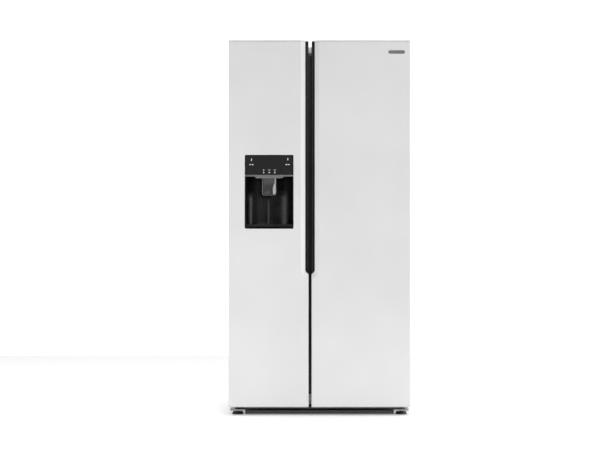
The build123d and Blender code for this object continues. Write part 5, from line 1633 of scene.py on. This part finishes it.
    def hinges(self) -> None:
        """Brackets, leaves, covers and screws."""
        for word in ("left", "right"):
            finish_node(f"lower_hinge_{word}", PLATED_STEEL, 0.8)
            finish_node(f"upper_hinge_{word}", PLATED_STEEL, 0.6)
        finish_node("hinge_covers", WHITE_ABS, 0.8)
        finish_node("hinge_screws", SCREW_STEEL, 0.5, 3)

    def running_gear(self) -> None:
        """Levelling feet and rear rollers."""
        for word in ("left", "right"):
            finish_node(f"levelling_foot_{word}", NYLON, 0.8)
            finish_node(f"rear_roller_{word}", NYLON, 0.4)


# ---------------------------------------------------------------- machinery
@dataclass
class Machinery:
    """Compressor, condenser, evaporator, fans, auger, valve and gland."""

    body: str = "cabinet"
    hub_radius_mm: float = 16.0
    blade_count: int = 5
    auger_turns: float = 5.0
    fin_mm: float = 0.5
    fin_margin_mm: tuple[float, float, float] = (24.0, 4.0, 8.0)
    blade_steps: int = 8
    root_pitch_deg: float = 38.0
    pitch_loss_deg: float = 14.0
    root_thickness_mm: float = 2.4
    thickness_loss_mm: float = 1.2
    flight_middle: float = 0.68
    flight_width: float = 0.6
    flight_thickness_mm: float = 3.0
    shaft_share: float = 0.4

    def build(self, repeater: Repeater) -> None:
        """Make every piece of the cooling and ice gear.

        Args:
            repeater: The Geometry Nodes trees.
        """
        finish_node("compressor", BLACK_ENAMEL, 0.8)
        finish_node("condenser_coil", BLACK_ENAMEL, 0.2)
        finish_node("condenser_fan_motor", BLACK_ENAMEL, 0.5)
        finish_node("drain_pan", GREY_ABS, 0.5)
        finish_node("evaporator", FIN_ALUMINIUM, 0)
        finish_node("water_inlet_valve", WHITE_ABS, 0.6)
        finish_node("cord_gland", RUBBER, 0.6)
        self.fan("condenser_fan", 0, repeater)
        self.fan("evaporator_fan", 1, repeater)
        self.auger(repeater)
        self.coil_fins(repeater)

    def fan(self, node: str, axis: int, repeater: Repeater) -> None:
        """Fan wheel: curved blades repeated round a domed hub.

        Args:
            node: The CAD fan.
            axis: 0 when it turns about X, 1 about Y.
            repeater: The Geometry Nodes trees.
        """
        low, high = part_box(node)
        middle = (low + high) / 2
        radius = (high.z - low.z) / 2 - 0.4 * MM
        length = high[axis] - low[axis]
        hub = self.hub_radius_mm * MM
        turn = about_x(*middle) if axis == 0 else about_y(*middle)
        blade = Blank()
        sections = []
        for step in range(self.blade_steps + 1):
            share = step / self.blade_steps
            reach = hub - 2 * MM + (radius - hub + 2 * MM) * share
            pitch = math.radians(self.root_pitch_deg - self.pitch_loss_deg * share)
            chord = (0.62 + 0.5 * math.sin(math.pi * share * 0.8)) * length
            thick = (self.root_thickness_mm - self.thickness_loss_mm * share) * MM
            upper, lower = [], []
            for i in range(7):
                along = (i / 6 - 0.5) * chord
                camber = 0.1 * chord * (1 - (2 * i / 6 - 1) ** 2)
                half = thick * 0.5 * (1 - 0.75 * abs(2 * i / 6 - 1))
                for side, row in ((half, upper), (-half, lower)):
                    across = camber + side
                    row.append((
                        along * math.cos(pitch) - across * math.sin(pitch),
                        along * math.sin(pitch) + across * math.cos(pitch),
                    ))
            sections.append((upper + lower[::-1], reach))
        blade.skin(sections, Plane3.YZ)
        wheel = blade.to_object(f"{node}_blades")
        for polygon in wheel.data.polygons:
            polygon.use_smooth = True
        repeater.ring(wheel, self.blade_count, BLACK_ABS, turn)
        place_piece(wheel, BLACK_ABS, BODY_OF[node], (node,))
        dome = Blank()
        rings = [(0.86, -0.5), (1.0, -0.44), (1.0, 0.34), (0.94, 0.44), (0.72, 0.49), (0.3, 0.5)]
        dome.skin([(circle_outline((0, 0), hub * r), length * z) for r, z in rings], Plane3.XY)
        dome.bm.transform(turn)
        make_piece(dome, f"{node}_hub", BLACK_ABS, BODY_OF[node], 0)

    def auger(self, repeater: Repeater) -> None:
        """Ice auger: a shaft with a wound flight.

        Args:
            repeater: The Geometry Nodes trees.
        """
        low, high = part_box("ice_auger")
        middle = (low + high) / 2
        radius = (high.x - low.x) / 2
        length = high.y - low.y
        start = about_y(middle.x, high.y - 3 * MM, middle.z)
        flight = repeater.flight(
            "auger_flight", self.auger_turns, radius * self.flight_middle, length - 6 * MM,
            (radius * self.flight_width, self.flight_thickness_mm * MM), GREY_ABS, start,
        )
        place_piece(flight, GREY_ABS, "auger", ("ice_auger",))
        ends = [(middle.x, low.y + 0.5 * MM, middle.z), (middle.x, high.y - 0.5 * MM, middle.z)]
        shaft = Blank().tube(ends, radius * self.shaft_share, 24)
        make_piece(shaft, "auger_shaft", GREY_ABS, "auger", 0.4)

    def coil_fins(self, repeater: Repeater) -> None:
        """Thin fins between the tubes of the cold coil and the warm coil.

        Args:
            repeater: The Geometry Nodes trees.
        """
        coils = (("evaporator", 52, FIN_ALUMINIUM), ("condenser_coil", 60, BLACK_ENAMEL))
        for node, count, finish in coils:
            low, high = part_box(node)
            across, front, up = (margin * MM for margin in self.fin_margin_mm)
            depth, height = high.y - low.y - front, high.z - low.z - up
            half = self.fin_mm * MM / 2
            stamp = Blank().box((-half, -height / 2, -depth / 2), (half, height / 2, depth / 2))
            fins = stamp.to_object(f"{node}_fins")
            place = about_y((low.x + high.x) / 2, (low.y + high.y) / 2, (low.z + high.z) / 2)
            width = high.x - low.x - across
            repeater.grid(fins, (width, 0), (count, 1), finish, place)
            place_piece(fins, finish, self.body)


# ---------------------------------------------------------------- badge
def badge() -> None:
    """Blank badge on the right door."""
    finish_node("badge", BADGE_PLATE, 0.4)


# ---------------------------------------------------------------- studio
@dataclass
class Studio:
    """Pale floor, soft lights and the camera."""

    distance: float = 7.5
    pixel_mm: float = 4.765
    frame_px: tuple[int, int] = (600, 450)
    off_centre_px: Point = (19.45, 2.85)
    sensor_mm: float = 36.0
    backdrop_strength: float = 1.42
    floor_glow: float = 0.25

    def build(self) -> None:
        """Make the floor, the world, the lights and the camera."""
        self.floor()
        self.world()
        self.lights()
        self.camera()

    def floor(self) -> None:
        """A wide pale floor under the feet, lit a little from below like a light table."""
        blank = Blank().box((-9, -3.2, -0.02), (9, 3.2, -0.0005))
        item = blank.to_object("studio_floor")
        paper = Finish("pale_studio_floor", "fafafa", 0.9).build()
        shader = paper.node_tree.nodes["Principled BSDF"]
        shader.inputs["Emission Color"].default_value = linear("ffffff")
        shader.inputs["Emission Strength"].default_value = self.floor_glow
        item.data.materials.append(paper)

    def world(self) -> None:
        """A light tent: bright behind, dimmer in front, and a white backdrop all round."""
        world = bpy.data.worlds.new("light_tent")
        bpy.context.scene.world = world
        world.use_nodes = True
        tree = world.node_tree
        tree.nodes.clear()
        place = add_node(tree, "ShaderNodeTexCoord")
        split = add_node(tree, "ShaderNodeSeparateXYZ", inputs={"Vector": place.outputs["Generated"]})
        depth = add_node(tree, "ShaderNodeMapRange", {"interpolation_type": "SMOOTHSTEP"}, {
            "Value": split.outputs["Y"], "From Min": -0.3, "From Max": 0.3,
            "To Min": 0.14, "To Max": 0.95,
        })
        side = add_node(tree, "ShaderNodeMapRange", inputs={
            "Value": split.outputs["X"], "From Min": -1.0, "From Max": 1.0, "To Min": 0.7, "To Max": 1.2,
        })
        tent = add_node(tree, "ShaderNodeMath", {"operation": "MULTIPLY"}, {
            0: depth.outputs["Result"], 1: side.outputs["Result"],
        })
        ray = add_node(tree, "ShaderNodeLightPath")
        glow = add_node(tree, "ShaderNodeMapRange", inputs={
            "Value": split.outputs["Y"], "From Min": 0.5, "From Max": 0.9, "To Min": 0.78,
            "To Max": self.backdrop_strength,
        })
        backdrop = add_node(tree, "ShaderNodeMath", {"operation": "MULTIPLY"}, {
            0: ray.outputs["Is Camera Ray"], 1: glow.outputs["Result"],
        })
        strength = add_node(tree, "ShaderNodeMath", {"operation": "MAXIMUM"}, {
            0: tent.outputs["Value"], 1: backdrop.outputs["Value"],
        })
        light = add_node(tree, "ShaderNodeBackground", inputs={
            "Color": (1, 1, 1, 1), "Strength": strength.outputs["Value"],
        })
        add_node(tree, "ShaderNodeOutputWorld", inputs={"Surface": light.outputs["Background"]})

    def lights(self) -> None:
        """A soft key at the left, a strong light far right and a sheet above."""
        self._softbox("key_left", (-1.75, -1.6, 0.6), (-0.4, -0.37, 0.8), (1.0, 2.6), 12.0)
        self._softbox("front_fill", (1.2, -5.5, 3.0), (0, -0.37, 0.8), (2.4, 2.4), 42.0)
        self._softbox("side_right", (6.0, -1.4, 1.2), (0, -0.37, 0.9), (1.6, 2.6), 180.0)
        self._softbox("top_sheet", (0, -0.3, 4.2), (0, -0.3, 0), (6.0, 4.0), 92.0)

    def _softbox(
        self, name: str, place: Sequence[float], aim: Sequence[float], size: Point, power: float
    ) -> None:
        """One rectangular softbox aimed at a point.

        Args:
            name: The light's name.
            place: Its middle.
            aim: The point that it faces.
            size: Its width and height.
            power: Its power in watts.
        """
        data = bpy.data.lights.new(name, "AREA")
        data.shape = "RECTANGLE"
        data.size, data.size_y = size
        data.energy = power
        item = bpy.data.objects.new(name, data)
        item.location = place
        direction = Vector(aim) - Vector(place)
        item.rotation_euler = direction.to_track_quat("-Z", "Y").to_euler()
        bpy.context.scene.collection.objects.link(item)

    def camera(self) -> None:
        """A long lens, square on to the doors at half their height."""
        low, high = CAD_BOX
        data = bpy.data.cameras.new("camera")
        data.sensor_width = self.sensor_mm
        data.lens = self.distance * self.sensor_mm / (self.frame_px[0] * self.pixel_mm * MM)
        data.shift_x = -self.off_centre_px[0] / self.frame_px[0]
        data.shift_y = self.off_centre_px[1] / self.frame_px[0]
        data.clip_end = 100
        item = bpy.data.objects.new("camera", data)
        item.location = ((low.x + high.x) / 2, low.y - self.distance, (low.z + high.z) / 2)
        item.rotation_euler = (math.radians(90), 0, 0)
        bpy.context.scene.collection.objects.link(item)
        bpy.context.scene.camera = item
        bpy.context.scene.view_settings.view_transform = "Standard"


def main() -> None:
    """Build the refrigerator, then the studio round it."""
    logging.basicConfig(level=logging.INFO, format="%(message)s")
    repeater = Repeater()
    Cabinet().build(repeater)
    Machinery().build(repeater)
    Door("freezer", "freezer_door", -1).build()
    Door("fridge", "fridge_door", 1).build()
    Dispenser().build()
    badge()
    Studio().build()


if __name__ == "__main__":
    main()
